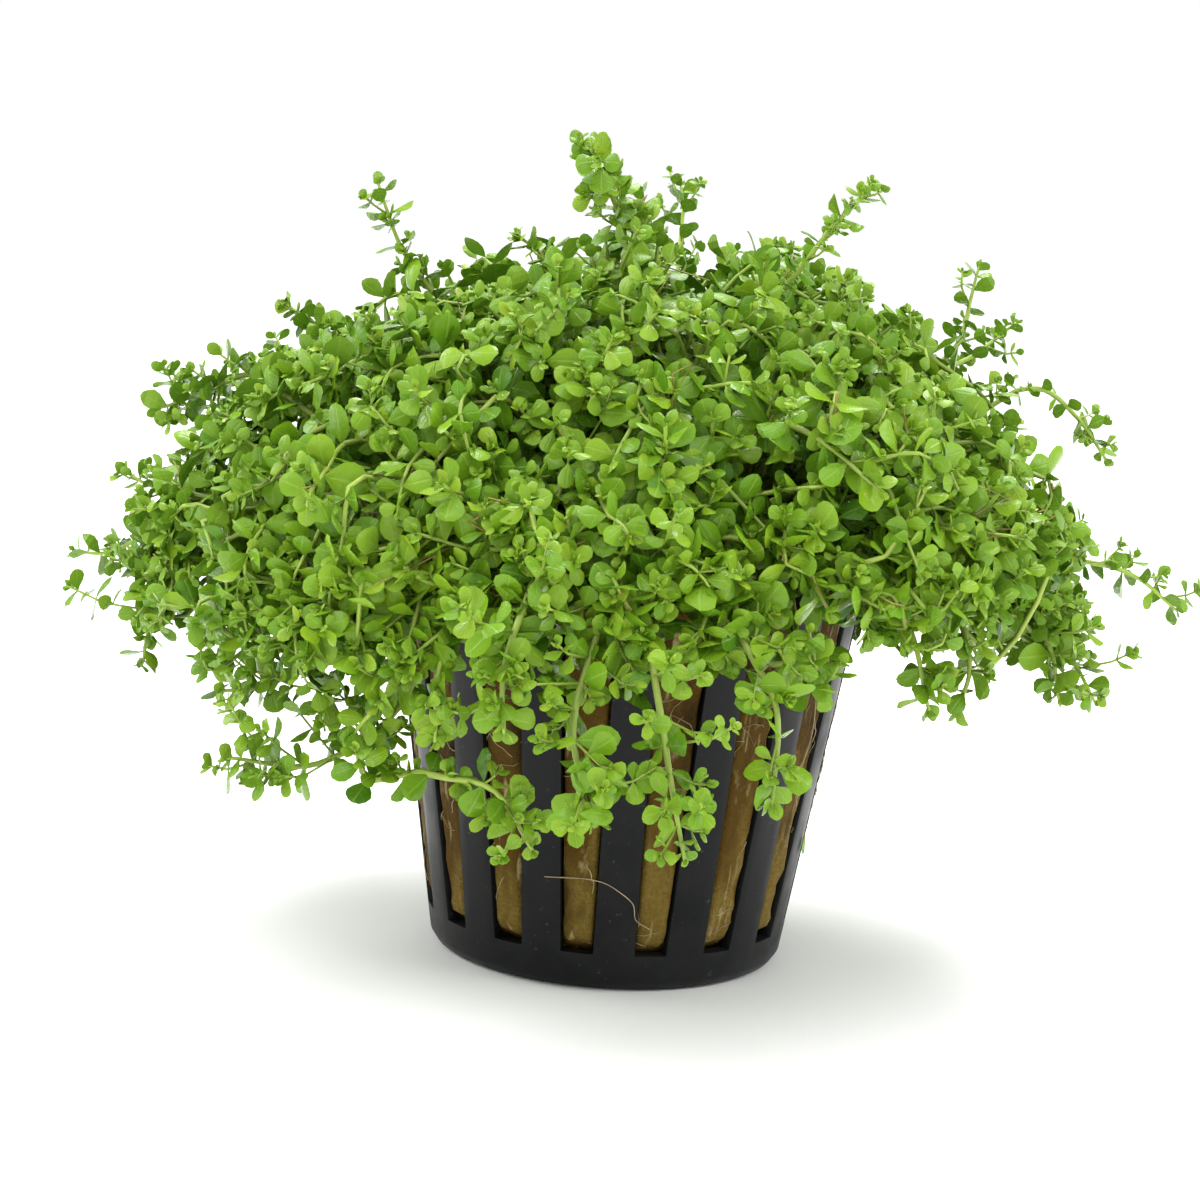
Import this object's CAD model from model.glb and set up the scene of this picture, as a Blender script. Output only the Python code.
# %% [markdown]
# # A leafy creeping plant in a slotted pot
# This lesson dresses a plain solid model of a potted aquarium plant. The solids give the sizes: a black
# net pot, a plug of brown rockwool, nine tufts of foliage and some long single stems. Each solid is
# replaced by a mesh that is grown in code on the same place: a moulded pot, fibrous rockwool, and more
# than twenty thousand small round leaves on thin stems.
#
# The frame comes first. Its pieces never move, and everything else is placed by them.

# %% Load the frame
import math

import bmesh
import bpy
import numpy as np
from mathutils import Matrix, Vector, noise
from mathutils.bvhtree import BVHTree


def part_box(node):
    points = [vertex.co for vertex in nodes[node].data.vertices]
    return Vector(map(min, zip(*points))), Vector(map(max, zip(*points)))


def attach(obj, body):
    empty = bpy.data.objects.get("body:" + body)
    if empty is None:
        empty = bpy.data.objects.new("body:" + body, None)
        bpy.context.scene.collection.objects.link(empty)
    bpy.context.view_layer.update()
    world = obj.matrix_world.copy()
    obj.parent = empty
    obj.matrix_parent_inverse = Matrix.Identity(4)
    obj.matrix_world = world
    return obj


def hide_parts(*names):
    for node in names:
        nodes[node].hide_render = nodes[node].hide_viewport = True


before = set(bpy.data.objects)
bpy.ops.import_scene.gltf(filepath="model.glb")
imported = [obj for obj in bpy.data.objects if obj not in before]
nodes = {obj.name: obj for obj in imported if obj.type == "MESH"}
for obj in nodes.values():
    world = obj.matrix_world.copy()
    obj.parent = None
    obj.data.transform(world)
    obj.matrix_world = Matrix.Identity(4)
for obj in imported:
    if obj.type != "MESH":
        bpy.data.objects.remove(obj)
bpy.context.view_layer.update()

MM = 0.001
SEED = 11
ROOT = "root"
print("nodes in the frame:", len(nodes))

# %% [markdown]
# ## Sizes
# The pot and the plug are measured on the frame, so that the dressed pieces always fit the solids. The
# pot is round, so places on it are easiest to think of as an azimuth, a radius and a height. An azimuth
# runs round the pot in degrees: 0 is the front, 90 the right, 180 the back and -90 the left.

# %% Measure the pot and the plug
pot_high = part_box("net_pot")[1]
plug_low, plug_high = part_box("rockwool_plug")
POT_HEIGHT = pot_high.z
LIP_RADIUS = pot_high.x
LIP_REACH = 1.3 * MM
LIP_HEIGHT = 2.0 * MM
RIM_RADIUS = LIP_RADIUS - LIP_REACH
BASE_RADIUS = 19.5 * MM
WALL = 1.2 * MM
PLUG_TOP = plug_high.z


def place(azimuth, radius, height):
    """A point from an azimuth in degrees, and a radius and a height in metres."""
    angle = math.radians(azimuth)
    return Vector((radius * math.sin(angle), -radius * math.cos(angle), height))


def pot_radius(height):
    """Outer radius of the pot's wall at a height."""
    return BASE_RADIUS + (RIM_RADIUS - BASE_RADIUS) * height / POT_HEIGHT


print("pot height", round(POT_HEIGHT, 4), "lip radius", round(LIP_RADIUS, 4))

# %% [markdown]
# ## The camera
# The photograph looks slightly down at the pot from 300 mm away, and the pot leans a little to the
# right in it. The camera stands at that angle, is rolled by that lean, and is then aimed so that the
# pot comes where the photograph has it. Aiming keeps the lens unshifted, so other views stay centred.

# %% Place the camera
PICTURE = 1200
FOCAL_PIXELS = 2680
SENSOR = 36.0
CAMERA_TARGET = Vector((0.0, 0.0, 25 * MM))
CAMERA_DISTANCE = 300 * MM
CAMERA_ELEVATION = math.radians(11.5)
CAMERA_ROLL = math.radians(3.8)
TARGET_RIGHT_OF_MIDDLE = 618.3 - PICTURE / 2
TARGET_BELOW_MIDDLE = 724.5 - PICTURE / 2


def make_camera():
    towards = Vector((0.0, math.cos(CAMERA_ELEVATION), -math.sin(CAMERA_ELEVATION)))
    level_right = Vector((1.0, 0.0, 0.0))
    level_up = level_right.cross(towards)
    right = level_right * math.cos(CAMERA_ROLL) + level_up * math.sin(CAMERA_ROLL)
    up = level_up * math.cos(CAMERA_ROLL) - level_right * math.sin(CAMERA_ROLL)
    offset = right * -TARGET_RIGHT_OF_MIDDLE + up * TARGET_BELOW_MIDDLE
    aim = (towards * FOCAL_PIXELS + offset).normalized()
    right = (right - aim * right.dot(aim)).normalized()
    up = right.cross(aim)
    data = bpy.data.cameras.new("camera")
    data.sensor_width = SENSOR
    data.lens = SENSOR * FOCAL_PIXELS / PICTURE
    data.clip_start = 10 * MM
    camera = bpy.data.objects.new("camera", data)
    bpy.context.scene.collection.objects.link(camera)
    turn = Matrix((right, up, -aim)).transposed().to_4x4()
    camera.matrix_world = Matrix.Translation(CAMERA_TARGET - towards * CAMERA_DISTANCE) @ turn
    bpy.context.scene.camera = camera
    return camera


def in_picture(camera, point):
    """Where a point falls in the photograph's own pixels."""
    seen = camera.matrix_world.inverted() @ Vector(point)
    scale = FOCAL_PIXELS / -seen.z
    return PICTURE / 2 + seen.x * scale, PICTURE / 2 - seen.y * scale


camera = make_camera()
for height in (0.0, POT_HEIGHT):
    across, down = in_picture(camera, (0, -pot_radius(height), height))
    print(f"front of the pot at height {height:.3f}: pixel {across:.0f}, {down:.0f}")

# %% [markdown]
# ## Helpers for shader nodes
# A material is a small graph. Short helpers keep each graph readable: they add a node, set its values
# and return it, ready to be linked. A node group is an effect that several materials share.

# %% Node helpers
def add_node(tree, kind, values=None, **settings):
    """A new node: settings are its own properties, values the numbers and colours of its inputs."""
    node = tree.nodes.new(kind)
    for name, value in settings.items():
        setattr(node, name, value)
    for socket, value in (values or {}).items():
        node.inputs[socket].default_value = value
    return node


def new_material(name):
    """A material, its node tree and its Principled BSDF."""
    material = bpy.data.materials.new(name)
    material.use_nodes = True
    tree = material.node_tree
    return material, tree, tree.nodes["Principled BSDF"]


def new_group(name, inputs, outputs):
    """A node group whose sockets are given as (name, kind, value)."""
    group = bpy.data.node_groups.new(name, "ShaderNodeTree")
    for socket, kind, value in inputs:
        made = group.interface.new_socket(name=socket, in_out="INPUT", socket_type=kind)
        made.default_value = value
    for socket, kind in outputs:
        group.interface.new_socket(name=socket, in_out="OUTPUT", socket_type=kind)
    return group, group.nodes.new("NodeGroupInput"), group.nodes.new("NodeGroupOutput")


def place_group(tree, group, values):
    return add_node(tree, "ShaderNodeGroup", values, node_tree=group)


COLOUR = "NodeSocketColor"
FLOAT = "NodeSocketFloat"
print("one node helper serves plain nodes and groups alike")

# %% [markdown]
# ## Two effects that the materials share
# Mottling: living and mineral surfaces are never one even colour. Noise at a set size blends one colour
# into another, and the mask comes out too, for use on roughness.
#
# Fine relief: a sum of a coarse and a fine noise, as a height for a Bump node. It is the grain of the
# plastic, the skin of a leaf and the felt of the rockwool, each at its own size.

# %% Build the shared groups
def mottling_group():
    inputs = (
        ("Colour A", COLOUR, (1, 1, 1, 1)),
        ("Colour B", COLOUR, (0, 0, 0, 1)),
        ("Size", FLOAT, 100.0),
        ("Low", FLOAT, 0.4),
        ("High", FLOAT, 0.6),
    )
    group, start, end = new_group("mottling", inputs, (("Colour", COLOUR), ("Mask", FLOAT)))
    link = group.links.new
    place_in = add_node(group, "ShaderNodeNewGeometry")
    cloud = add_node(group, "ShaderNodeTexNoise", {"Detail": 4.0, "Roughness": 0.6})
    levels = add_node(group, "ShaderNodeMapRange")
    blend = add_node(group, "ShaderNodeMix", data_type="RGBA")
    link(place_in.outputs["Position"], cloud.inputs["Vector"])
    link(start.outputs["Size"], cloud.inputs["Scale"])
    link(cloud.outputs["Fac"], levels.inputs["Value"])
    link(start.outputs["Low"], levels.inputs["From Min"])
    link(start.outputs["High"], levels.inputs["From Max"])
    link(levels.outputs["Result"], blend.inputs["Factor"])
    link(start.outputs["Colour A"], blend.inputs[6])
    link(start.outputs["Colour B"], blend.inputs[7])
    link(blend.outputs[2], end.inputs["Colour"])
    link(levels.outputs["Result"], end.inputs["Mask"])
    return group


def relief_group():
    inputs = (("Coarse Size", FLOAT, 500.0), ("Fine Size", FLOAT, 3000.0), ("Fine Share", FLOAT, 0.4))
    group, start, end = new_group("fine relief", inputs, (("Height", FLOAT),))
    link = group.links.new
    place_in = add_node(group, "ShaderNodeNewGeometry")
    coarse = add_node(group, "ShaderNodeTexNoise", {"Detail": 3.0})
    fine = add_node(group, "ShaderNodeTexNoise", {"Detail": 2.0})
    total = add_node(group, "ShaderNodeMix", data_type="FLOAT")
    for cloud, size in ((coarse, "Coarse Size"), (fine, "Fine Size")):
        link(place_in.outputs["Position"], cloud.inputs["Vector"])
        link(start.outputs[size], cloud.inputs["Scale"])
    link(start.outputs["Fine Share"], total.inputs["Factor"])
    link(coarse.outputs["Fac"], total.inputs["A"])
    link(fine.outputs["Fac"], total.inputs["B"])
    link(total.outputs["Result"], end.inputs["Height"])
    return group


mottling = mottling_group()
fine_relief = relief_group()
print("groups:", mottling.name, "and", fine_relief.name)

# %% [markdown]
# ## Steps that every graph takes
# Four steps come up in each material: a sum on one value, a blend of two colours, a value stretched
# to another range, and a bump.

# %% Make the graph steps
def math_node(tree, operation, first, second=None):
    """A Math node whose inputs are sockets or plain numbers, and its output socket."""
    node = tree.nodes.new("ShaderNodeMath")
    node.operation = operation
    for socket, value in zip(node.inputs, (first, second)):
        if isinstance(value, (int, float)):
            socket.default_value = value
        elif value is not None:
            tree.links.new(value, socket)
    return node.outputs["Value"]


def blend_colours(tree, factor, first, second):
    """A Mix node between two colours, each a socket or a plain colour."""
    node = add_node(tree, "ShaderNodeMix", data_type="RGBA")
    for socket, value in ((node.inputs["Factor"], factor), (node.inputs[6], first), (node.inputs[7], second)):
        if isinstance(value, (tuple, float, int)):
            socket.default_value = value
        else:
            tree.links.new(value, socket)
    return node.outputs[2]


def ramp(tree, value, low, high, to_low=0.0, to_high=1.0):
    """Stretch a value between two levels to another range, and clamp it there."""
    values = {"From Min": low, "From Max": high, "To Min": to_low, "To Max": to_high}
    node = add_node(tree, "ShaderNodeMapRange", values)
    tree.links.new(value, node.inputs["Value"])
    return node.outputs["Result"]


def add_bump(tree, shader, height, strength, distance):
    """A Bump node from a height to the shader's normal."""
    bump = add_node(tree, "ShaderNodeBump", {"Strength": strength, "Distance": distance})
    tree.links.new(height, bump.inputs["Height"])
    tree.links.new(bump.outputs["Normal"], shader.inputs["Normal"])


print("graph steps:", [step.__name__ for step in (math_node, blend_colours, ramp, add_bump)])

# %% [markdown]
# ## Leaf green
# A real leaf is yellow-green when young and a fuller green when old, paler underneath, with a pale
# midvein and side veins that sweep forward. Each leaf of the mesh carries numbers for this: `tone` is
# its own random number, `age` runs from 0 at a shoot's tip to 1 deep in the tuft, and the UV map
# `leaf_shape` says how far along and across its leaf a point lies. A second unit across marks the
# underside. Past 1, `age` stands for the shaded leaves deep inside, which are darkest. A material for
# each kind of leaf could do this too, but numbers on the mesh let one graph serve them all.

# %% Make the leaf material
YOUNG_GREEN = (0.184, 0.318, 0.017, 1)
FULL_GREEN = (0.134, 0.292, 0.010, 1)
OLD_GREEN = (0.076, 0.200, 0.008, 1)
DEEP_GREEN = (0.020, 0.064, 0.003, 1)
VEIN_GREEN = (0.280, 0.440, 0.065, 1)
UNDERSIDE_GREEN = (0.195, 0.345, 0.040, 1)
SIDE_VEINS = 5.0
VEIN_SWEEP = 0.45


def leaf_material():
    material, tree, shader = new_material("leaf green")
    shape = add_node(tree, "ShaderNodeUVMap", uv_map="leaf_shape")
    split = tree.nodes.new("ShaderNodeSeparateXYZ")
    tree.links.new(shape.outputs["UV"], split.inputs["Vector"])
    along = split.outputs["X"]
    across = split.outputs["Y"]
    tone = add_node(tree, "ShaderNodeAttribute", attribute_name="tone").outputs["Fac"]
    age = add_node(tree, "ShaderNodeAttribute", attribute_name="age").outputs["Fac"]
    underside = math_node(tree, "GREATER_THAN", across, 1.0)
    from_vein = math_node(tree, "SUBTRACT", across, underside)
    from_vein = math_node(tree, "ABSOLUTE", math_node(tree, "SUBTRACT", from_vein, 0.5))
    midvein = ramp(tree, from_vein, 0.015, 0.07, 1.0, 0.0)
    swept = math_node(tree, "SUBTRACT", along, math_node(tree, "MULTIPLY", from_vein, VEIN_SWEEP))
    wave = math_node(tree, "PINGPONG", math_node(tree, "MULTIPLY", swept, SIDE_VEINS), 0.5)
    side_vein = ramp(tree, wave, 0.0, 0.09, 1.0, 0.0)
    fade = ramp(tree, from_vein, 0.30, 0.46, 1.0, 0.0)
    side_vein = math_node(tree, "MULTIPLY", side_vein, fade)
    veins = math_node(tree, "MAXIMUM", midvein, math_node(tree, "MULTIPLY", side_vein, 0.45))

    younger = blend_colours(tree, ramp(tree, age, 0.0, 0.45), YOUNG_GREEN, FULL_GREEN)
    older = blend_colours(tree, ramp(tree, age, 0.45, 1.0), younger, OLD_GREEN)
    grown = blend_colours(tree, ramp(tree, age, 1.0, 1.5), older, DEEP_GREEN)
    hue = ramp(tree, tone, 0.0, 1.0, 0.510, 0.486)
    value = ramp(tree, tone, 0.0, 1.0, 0.78, 1.12)
    shifted = add_node(tree, "ShaderNodeHueSaturation")
    tree.links.new(hue, shifted.inputs["Hue"])
    tree.links.new(value, shifted.inputs["Value"])
    tree.links.new(grown, shifted.inputs["Color"])
    patches = place_group(tree, mottling, {"Size": 620.0, "Low": 0.42, "High": 0.66, "Colour B": FULL_GREEN})
    tree.links.new(shifted.outputs["Color"], patches.inputs["Colour A"])
    mottled = blend_colours(tree, 0.35, shifted.outputs["Color"], patches.outputs["Colour"])
    veined = blend_colours(tree, math_node(tree, "MULTIPLY", veins, 0.34), mottled, VEIN_GREEN)
    under = math_node(tree, "MULTIPLY", underside, 0.45)
    coloured = blend_colours(tree, under, veined, UNDERSIDE_GREEN)
    tree.links.new(coloured, shader.inputs["Base Color"])

    rough = ramp(tree, patches.outputs["Mask"], 0.0, 1.0, 0.20, 0.38)
    tree.links.new(rough, shader.inputs["Roughness"])
    skin = place_group(tree, fine_relief, {"Coarse Size": 900.0, "Fine Size": 3600.0, "Fine Share": 0.35})
    height = math_node(tree, "SUBTRACT", skin.outputs["Height"], math_node(tree, "MULTIPLY", veins, 0.6))
    add_bump(tree, shader, height, 0.5, 0.12 * MM)
    shader.inputs["Specular IOR Level"].default_value = 0.22
    return material


leaf_green = leaf_material()
print("material:", leaf_green.name)

# %% [markdown]
# ## Stem green
# Young stems are pale, juicy and almost yellow. Towards the rockwool they turn olive, and dry old ones
# are ochre. The same `age` number drives this, past 1 for the dry ones, so that stems and leaves grow
# old together along one sprig.

# %% Make the stem material
YOUNG_STEM = (0.300, 0.430, 0.065, 1)
OLD_STEM = (0.225, 0.275, 0.050, 1)
BARE_STEM = (0.290, 0.200, 0.060, 1)


def stem_material():
    material, tree, shader = new_material("stem green")
    age = add_node(tree, "ShaderNodeAttribute", attribute_name="age").outputs["Fac"]
    tone = add_node(tree, "ShaderNodeAttribute", attribute_name="tone").outputs["Fac"]
    green = blend_colours(tree, ramp(tree, age, 0.1, 1.0), YOUNG_STEM, OLD_STEM)
    brown = blend_colours(tree, ramp(tree, age, 1.1, 2.0), green, BARE_STEM)
    shifted = add_node(tree, "ShaderNodeHueSaturation")
    tree.links.new(ramp(tree, tone, 0.0, 1.0, 0.75, 1.2), shifted.inputs["Value"])
    tree.links.new(brown, shifted.inputs["Color"])
    patches = place_group(tree, mottling, {"Size": 900.0, "Low": 0.45, "High": 0.7, "Colour B": OLD_STEM})
    tree.links.new(shifted.outputs["Color"], patches.inputs["Colour A"])
    mottled = blend_colours(tree, 0.4, shifted.outputs["Color"], patches.outputs["Colour"])
    tree.links.new(mottled, shader.inputs["Base Color"])
    tree.links.new(ramp(tree, patches.outputs["Mask"], 0, 1, 0.38, 0.55), shader.inputs["Roughness"])
    skin = place_group(tree, fine_relief, {"Coarse Size": 1500.0, "Fine Size": 5000.0, "Fine Share": 0.4})
    add_bump(tree, shader, skin.outputs["Height"], 0.5, 0.08 * MM)
    shader.inputs["Specular IOR Level"].default_value = 0.3
    return material


stem_green = stem_material()
print("material:", stem_green.name)

# %% [markdown]
# ## Black pot plastic
# Injection-moulded polypropylene: near black, satin, with a very fine grain. Water has left a faint
# grey film on it in cloudy patches, rougher than the clean plastic, and dried into small pale specks.
# Both are the mottling group at two sizes. It works on places in space, so the stains run on round the
# edges of the ribs without a seam.

# %% Make the pot's material
PLASTIC_BLACK = (0.0040, 0.0048, 0.0049, 1)
PLASTIC_FILM = (0.0100, 0.0110, 0.0107, 1)
DRIED_SPECK = (0.060, 0.058, 0.047, 1)


def plastic_material():
    material, tree, shader = new_material("black pot plastic")
    film = place_group(tree, mottling, {"Size": 130.0, "Low": 0.40, "High": 0.72,
                                        "Colour A": PLASTIC_BLACK, "Colour B": PLASTIC_FILM})
    specks = place_group(tree, mottling, {"Size": 1400.0, "Low": 0.66, "High": 0.76, "Colour B": DRIED_SPECK})
    tree.links.new(film.outputs["Colour"], specks.inputs["Colour A"])
    tree.links.new(specks.outputs["Colour"], shader.inputs["Base Color"])
    tree.links.new(ramp(tree, film.outputs["Mask"], 0, 1, 0.36, 0.60), shader.inputs["Roughness"])
    grain = place_group(tree, fine_relief, {"Coarse Size": 700.0, "Fine Size": 4200.0, "Fine Share": 0.5})
    add_bump(tree, shader, grain.outputs["Height"], 0.35, 0.05 * MM)
    shader.inputs["Specular IOR Level"].default_value = 0.155
    return material


pot_plastic = plastic_material()
print("material:", pot_plastic.name)

# %% [markdown]
# ## Brown rockwool
# Wet mineral wool that has stood in the nursery tank: ochre, with dark brown patches where it holds
# more dirt, mostly near the top, and pale wet streaks. The patches and streaks are stretched upwards,
# as the wool's layers stand and as the water runs. Several clouds laid over each other look less even
# than one, and each keeps its own size. Loose fibres and roots share a simpler material of two colours.

# %% Make the rockwool materials
WOOL_OCHRE = (0.160, 0.109, 0.022, 1)
WOOL_BROWN = (0.074, 0.040, 0.004, 1)
WOOL_DARK = (0.020, 0.011, 0.002, 1)
WOOL_PALE = (0.370, 0.300, 0.130, 1)
FIBRE_STRAW = (0.420, 0.345, 0.190, 1)
ROOT_PALE = (0.400, 0.330, 0.200, 1)
ROOT_DARK = (0.220, 0.150, 0.075, 1)


def rockwool_material():
    material, tree, shader = new_material("brown rockwool")
    where = add_node(tree, "ShaderNodeNewGeometry")
    split = tree.nodes.new("ShaderNodeSeparateXYZ")
    tree.links.new(where.outputs["Position"], split.inputs["Vector"])

    def cloud(size, detail, upright):
        """Noise whose patches are stretched upwards where upright is small."""
        stretch = add_node(tree, "ShaderNodeMapping", {"Scale": (1.0, 1.0, upright)})
        node = add_node(tree, "ShaderNodeTexNoise", {"Scale": size, "Detail": detail, "Roughness": 0.62})
        tree.links.new(where.outputs["Position"], stretch.inputs["Vector"])
        tree.links.new(stretch.outputs["Vector"], node.inputs["Vector"])
        return node.outputs["Fac"]

    high_up = ramp(tree, split.outputs["Z"], 0.008, 0.024, 0.08, -0.10)
    broad_cloud = math_node(tree, "ADD", cloud(150.0, 3.0, 0.24), high_up)
    broad = blend_colours(tree, ramp(tree, broad_cloud, 0.46, 0.58), WOOL_BROWN, WOOL_OCHRE)
    dark_cloud = math_node(tree, "SUBTRACT", cloud(210.0, 4.0, 0.32), math_node(tree, "MULTIPLY", high_up, 0.6))
    dark = blend_colours(tree, ramp(tree, dark_cloud, 0.52, 0.70), broad, WOOL_DARK)
    streak = ramp(tree, cloud(760.0, 2.0, 0.06), 0.60, 0.68)
    wet = math_node(tree, "MULTIPLY", streak, 0.75)
    pale = blend_colours(tree, ramp(tree, cloud(520.0, 5.0, 0.32), 0.60, 0.78), dark, WOOL_PALE)
    pale = blend_colours(tree, wet, pale, WOOL_PALE)
    felt = place_group(tree, mottling, {"Size": 2600.0, "Low": 0.35, "High": 0.75, "Colour B": WOOL_BROWN})
    tree.links.new(pale, felt.inputs["Colour A"])
    tree.links.new(blend_colours(tree, 0.55, pale, felt.outputs["Colour"]), shader.inputs["Base Color"])
    dry = ramp(tree, felt.outputs["Mask"], 0, 1, 0.62, 0.95)
    rough = math_node(tree, "SUBTRACT", dry, math_node(tree, "MULTIPLY", wet, 0.4))
    tree.links.new(rough, shader.inputs["Roughness"])
    grain = place_group(tree, fine_relief, {"Coarse Size": 900.0, "Fine Size": 4000.0, "Fine Share": 0.5})
    add_bump(tree, shader, grain.outputs["Height"], 0.9, 0.35 * MM)
    shader.inputs["Specular IOR Level"].default_value = 0.1
    return material


def fibre_material(name, colour, other):
    """A thin fibre or root in two colours that change along it."""
    material, tree, shader = new_material(name)
    streaks = place_group(tree, mottling, {"Size": 500.0, "Low": 0.35, "High": 0.65,
                                           "Colour A": colour, "Colour B": other})
    tree.links.new(streaks.outputs["Colour"], shader.inputs["Base Color"])
    tree.links.new(ramp(tree, streaks.outputs["Mask"], 0, 1, 0.45, 0.7), shader.inputs["Roughness"])
    skin = place_group(tree, fine_relief, {"Coarse Size": 2000.0, "Fine Size": 6000.0, "Fine Share": 0.5})
    add_bump(tree, shader, skin.outputs["Height"], 0.4, 0.04 * MM)
    return material


rockwool = rockwool_material()
fibre_straw = fibre_material("straw fibre", FIBRE_STRAW, WOOL_OCHRE)
root_brown = fibre_material("root thread", ROOT_PALE, ROOT_DARK)
print("materials:", rockwool.name, fibre_straw.name, root_brown.name)

# %% [markdown]
# ## The net pot
# The real pot is one thin moulded cup with sixteen slots, so its surface is drawn as one sheet of
# cells turned round the axis. The columns follow the edges of the ribs, and of the drain slots in the
# floor, and the cells of the slots are left out. Cutting the slots into a finished cup would work as
# well, but leaves ragged faces at the cuts, and those shade badly.

# %% Draw the pot's sheet
RIB_COUNT = 16
RIB_WIDTH = 4.4 * MM
RIB_PHASE = 3.2
RIB_COLUMNS = 4
SLOT_COLUMNS = 6
SLOT_LOW = 4.2 * MM
SLOT_HIGH = 44.0 * MM
SLOT_ROWS = 16
UNDER_LIP = 46.5 * MM
DRAIN_WIDTH = 2.4 * MM
DRAIN_IN = 6.5 * MM
DRAIN_OUT = 15.0 * MM
DRAIN_ROWS = 4
FOOT_ROUNDING = 1.3 * MM
MOULDED_EDGE = 0.24 * MM


def pot_rings():
    """(radius, height, width of the rib or drain columns, what is left out above this ring)."""
    rings = [(3.2 * MM, 0.0, 1.0 * MM, None)]
    for step in range(DRAIN_ROWS + 1):
        radius = DRAIN_IN + (DRAIN_OUT - DRAIN_IN) * step / DRAIN_ROWS
        rings.append((radius, 0.0, DRAIN_WIDTH, "drain" if step < DRAIN_ROWS else None))
    rings.append((BASE_RADIUS - FOOT_ROUNDING, 0.0, 0.8 * RIB_WIDTH, None))
    rings.append((BASE_RADIUS - 0.3 * FOOT_ROUNDING, 0.3 * FOOT_ROUNDING, RIB_WIDTH, None))
    rings.append((pot_radius(FOOT_ROUNDING), FOOT_ROUNDING, RIB_WIDTH, None))
    for step in range(SLOT_ROWS + 1):
        height = SLOT_LOW + (SLOT_HIGH - SLOT_LOW) * step / SLOT_ROWS
        rings.append((pot_radius(height), height, RIB_WIDTH, "slot" if step < SLOT_ROWS else None))
    for height in (UNDER_LIP, POT_HEIGHT - 0.2 * MM):
        rings.append((pot_radius(height), height, RIB_WIDTH, None))
    return rings


def column_azimuths(radius, width):
    """Azimuth of each column of one ring: across each rib, then across the slot beside it."""
    pitch = 360 / RIB_COUNT
    half = math.degrees(0.5 * width / radius)
    azimuths = []
    for rib in range(RIB_COUNT):
        middle = RIB_PHASE + rib * pitch
        for column in range(RIB_COLUMNS):
            azimuths.append(middle - half + 2 * half * column / RIB_COLUMNS)
        for column in range(SLOT_COLUMNS):
            azimuths.append(middle + half + (pitch - 2 * half) * column / SLOT_COLUMNS)
    return azimuths


def cell_is_open(kind, column):
    """Whether a cell of this kind of row is part of a slot or a drain."""
    rib, place_in_pitch = divmod(column, RIB_COLUMNS + SLOT_COLUMNS)
    if kind == "slot":
        return place_in_pitch >= RIB_COLUMNS
    return kind == "drain" and rib % 2 == 0 and place_in_pitch < RIB_COLUMNS


print("rings of the sheet:", len(pot_rings()), "columns:", len(column_azimuths(BASE_RADIUS, RIB_WIDTH)))

# %% [markdown]
# ## From rings to a mesh
# Each pair of neighbouring rings is joined cell by cell, and the cells of slots and drains are skipped.
# A bmesh suits this best, because faces are made one at a time and it finds their outer side by itself.
# Two short helpers follow: one turns a bmesh into an object, the other fixes what its modifiers make.

# %% Join the rings
def pot_sheet():
    """The pot's outer surface, from the middle of the floor to the rim."""
    bm = bmesh.new()
    rings = pot_rings()
    middle = bm.verts.new((0.0, 0.0, 0.0))
    rows = []
    for radius, height, width, _ in rings:
        rows.append([bm.verts.new(place(a, radius, height)) for a in column_azimuths(radius, width)])
    count = len(rows[0])
    for column in range(count):
        bm.faces.new((middle, rows[0][column], rows[0][(column + 1) % count]))
    for ring, (low, high) in enumerate(zip(rows, rows[1:])):
        for column in range(count):
            if not cell_is_open(rings[ring][3], column):
                after = (column + 1) % count
                bm.faces.new((low[column], high[column], high[after], low[after]))
    bmesh.ops.recalc_face_normals(bm, faces=bm.faces[:])
    return bm


def mesh_object(name, bm, *materials):
    """An object in the scene from a bmesh, which is freed."""
    mesh = bpy.data.meshes.new(name)
    bm.to_mesh(mesh)
    bm.free()
    obj = bpy.data.objects.new(name, mesh)
    bpy.context.scene.collection.objects.link(obj)
    for material in materials:
        mesh.materials.append(material)
    return obj


def apply_modifiers(obj):
    """Replace an object's mesh by what its modifiers make of it."""
    graph = bpy.context.evaluated_depsgraph_get()
    finished = bpy.data.meshes.new_from_object(obj.evaluated_get(graph))
    obj.modifiers.clear()
    obj.data = finished
    return obj


sheet = pot_sheet()
print("cells in the pot's sheet:", len(sheet.faces))

# %% [markdown]
# ## Wall, edges and lip
# Solidify gives the sheet the thickness of the moulded wall, and Bevel rounds every edge, because a
# mould has no sharp corners and the small radius catches the light. The lip is thicker than the wall,
# so it is a ring of its own, turned from its rounded section.

# %% Give the sheet its wall and its lip
LIP_STEPS = 128
LIP_ROUNDING = 0.35 * MM
ROUNDED_FROM = 50
CREASED_FROM = 42


def add_lip(bm):
    """Turn the lip's rounded section round the axis, as a ring of its own."""
    inner, outer = RIM_RADIUS - WALL, LIP_RADIUS
    bottom, top = POT_HEIGHT - LIP_HEIGHT, POT_HEIGHT
    edge = LIP_ROUNDING
    section = (
        (inner, top - edge), (inner + edge, top), (outer - edge, top), (outer, top - edge),
        (outer, bottom + edge), (outer - edge, bottom), (RIM_RADIUS - 0.4 * MM, bottom),
        (inner, bottom + edge),
    )
    rows = []
    for step in range(LIP_STEPS):
        azimuth = 360 * step / LIP_STEPS
        rows.append([bm.verts.new(place(azimuth, radius, height)) for radius, height in section])
    faces = []
    for this, after in zip(rows, rows[1:] + rows[:1]):
        for corner in range(len(section)):
            beyond = (corner + 1) % len(section)
            faces.append(bm.faces.new((this[corner], after[corner], after[beyond], this[beyond])))
    bmesh.ops.recalc_face_normals(bm, faces=faces)


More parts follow.
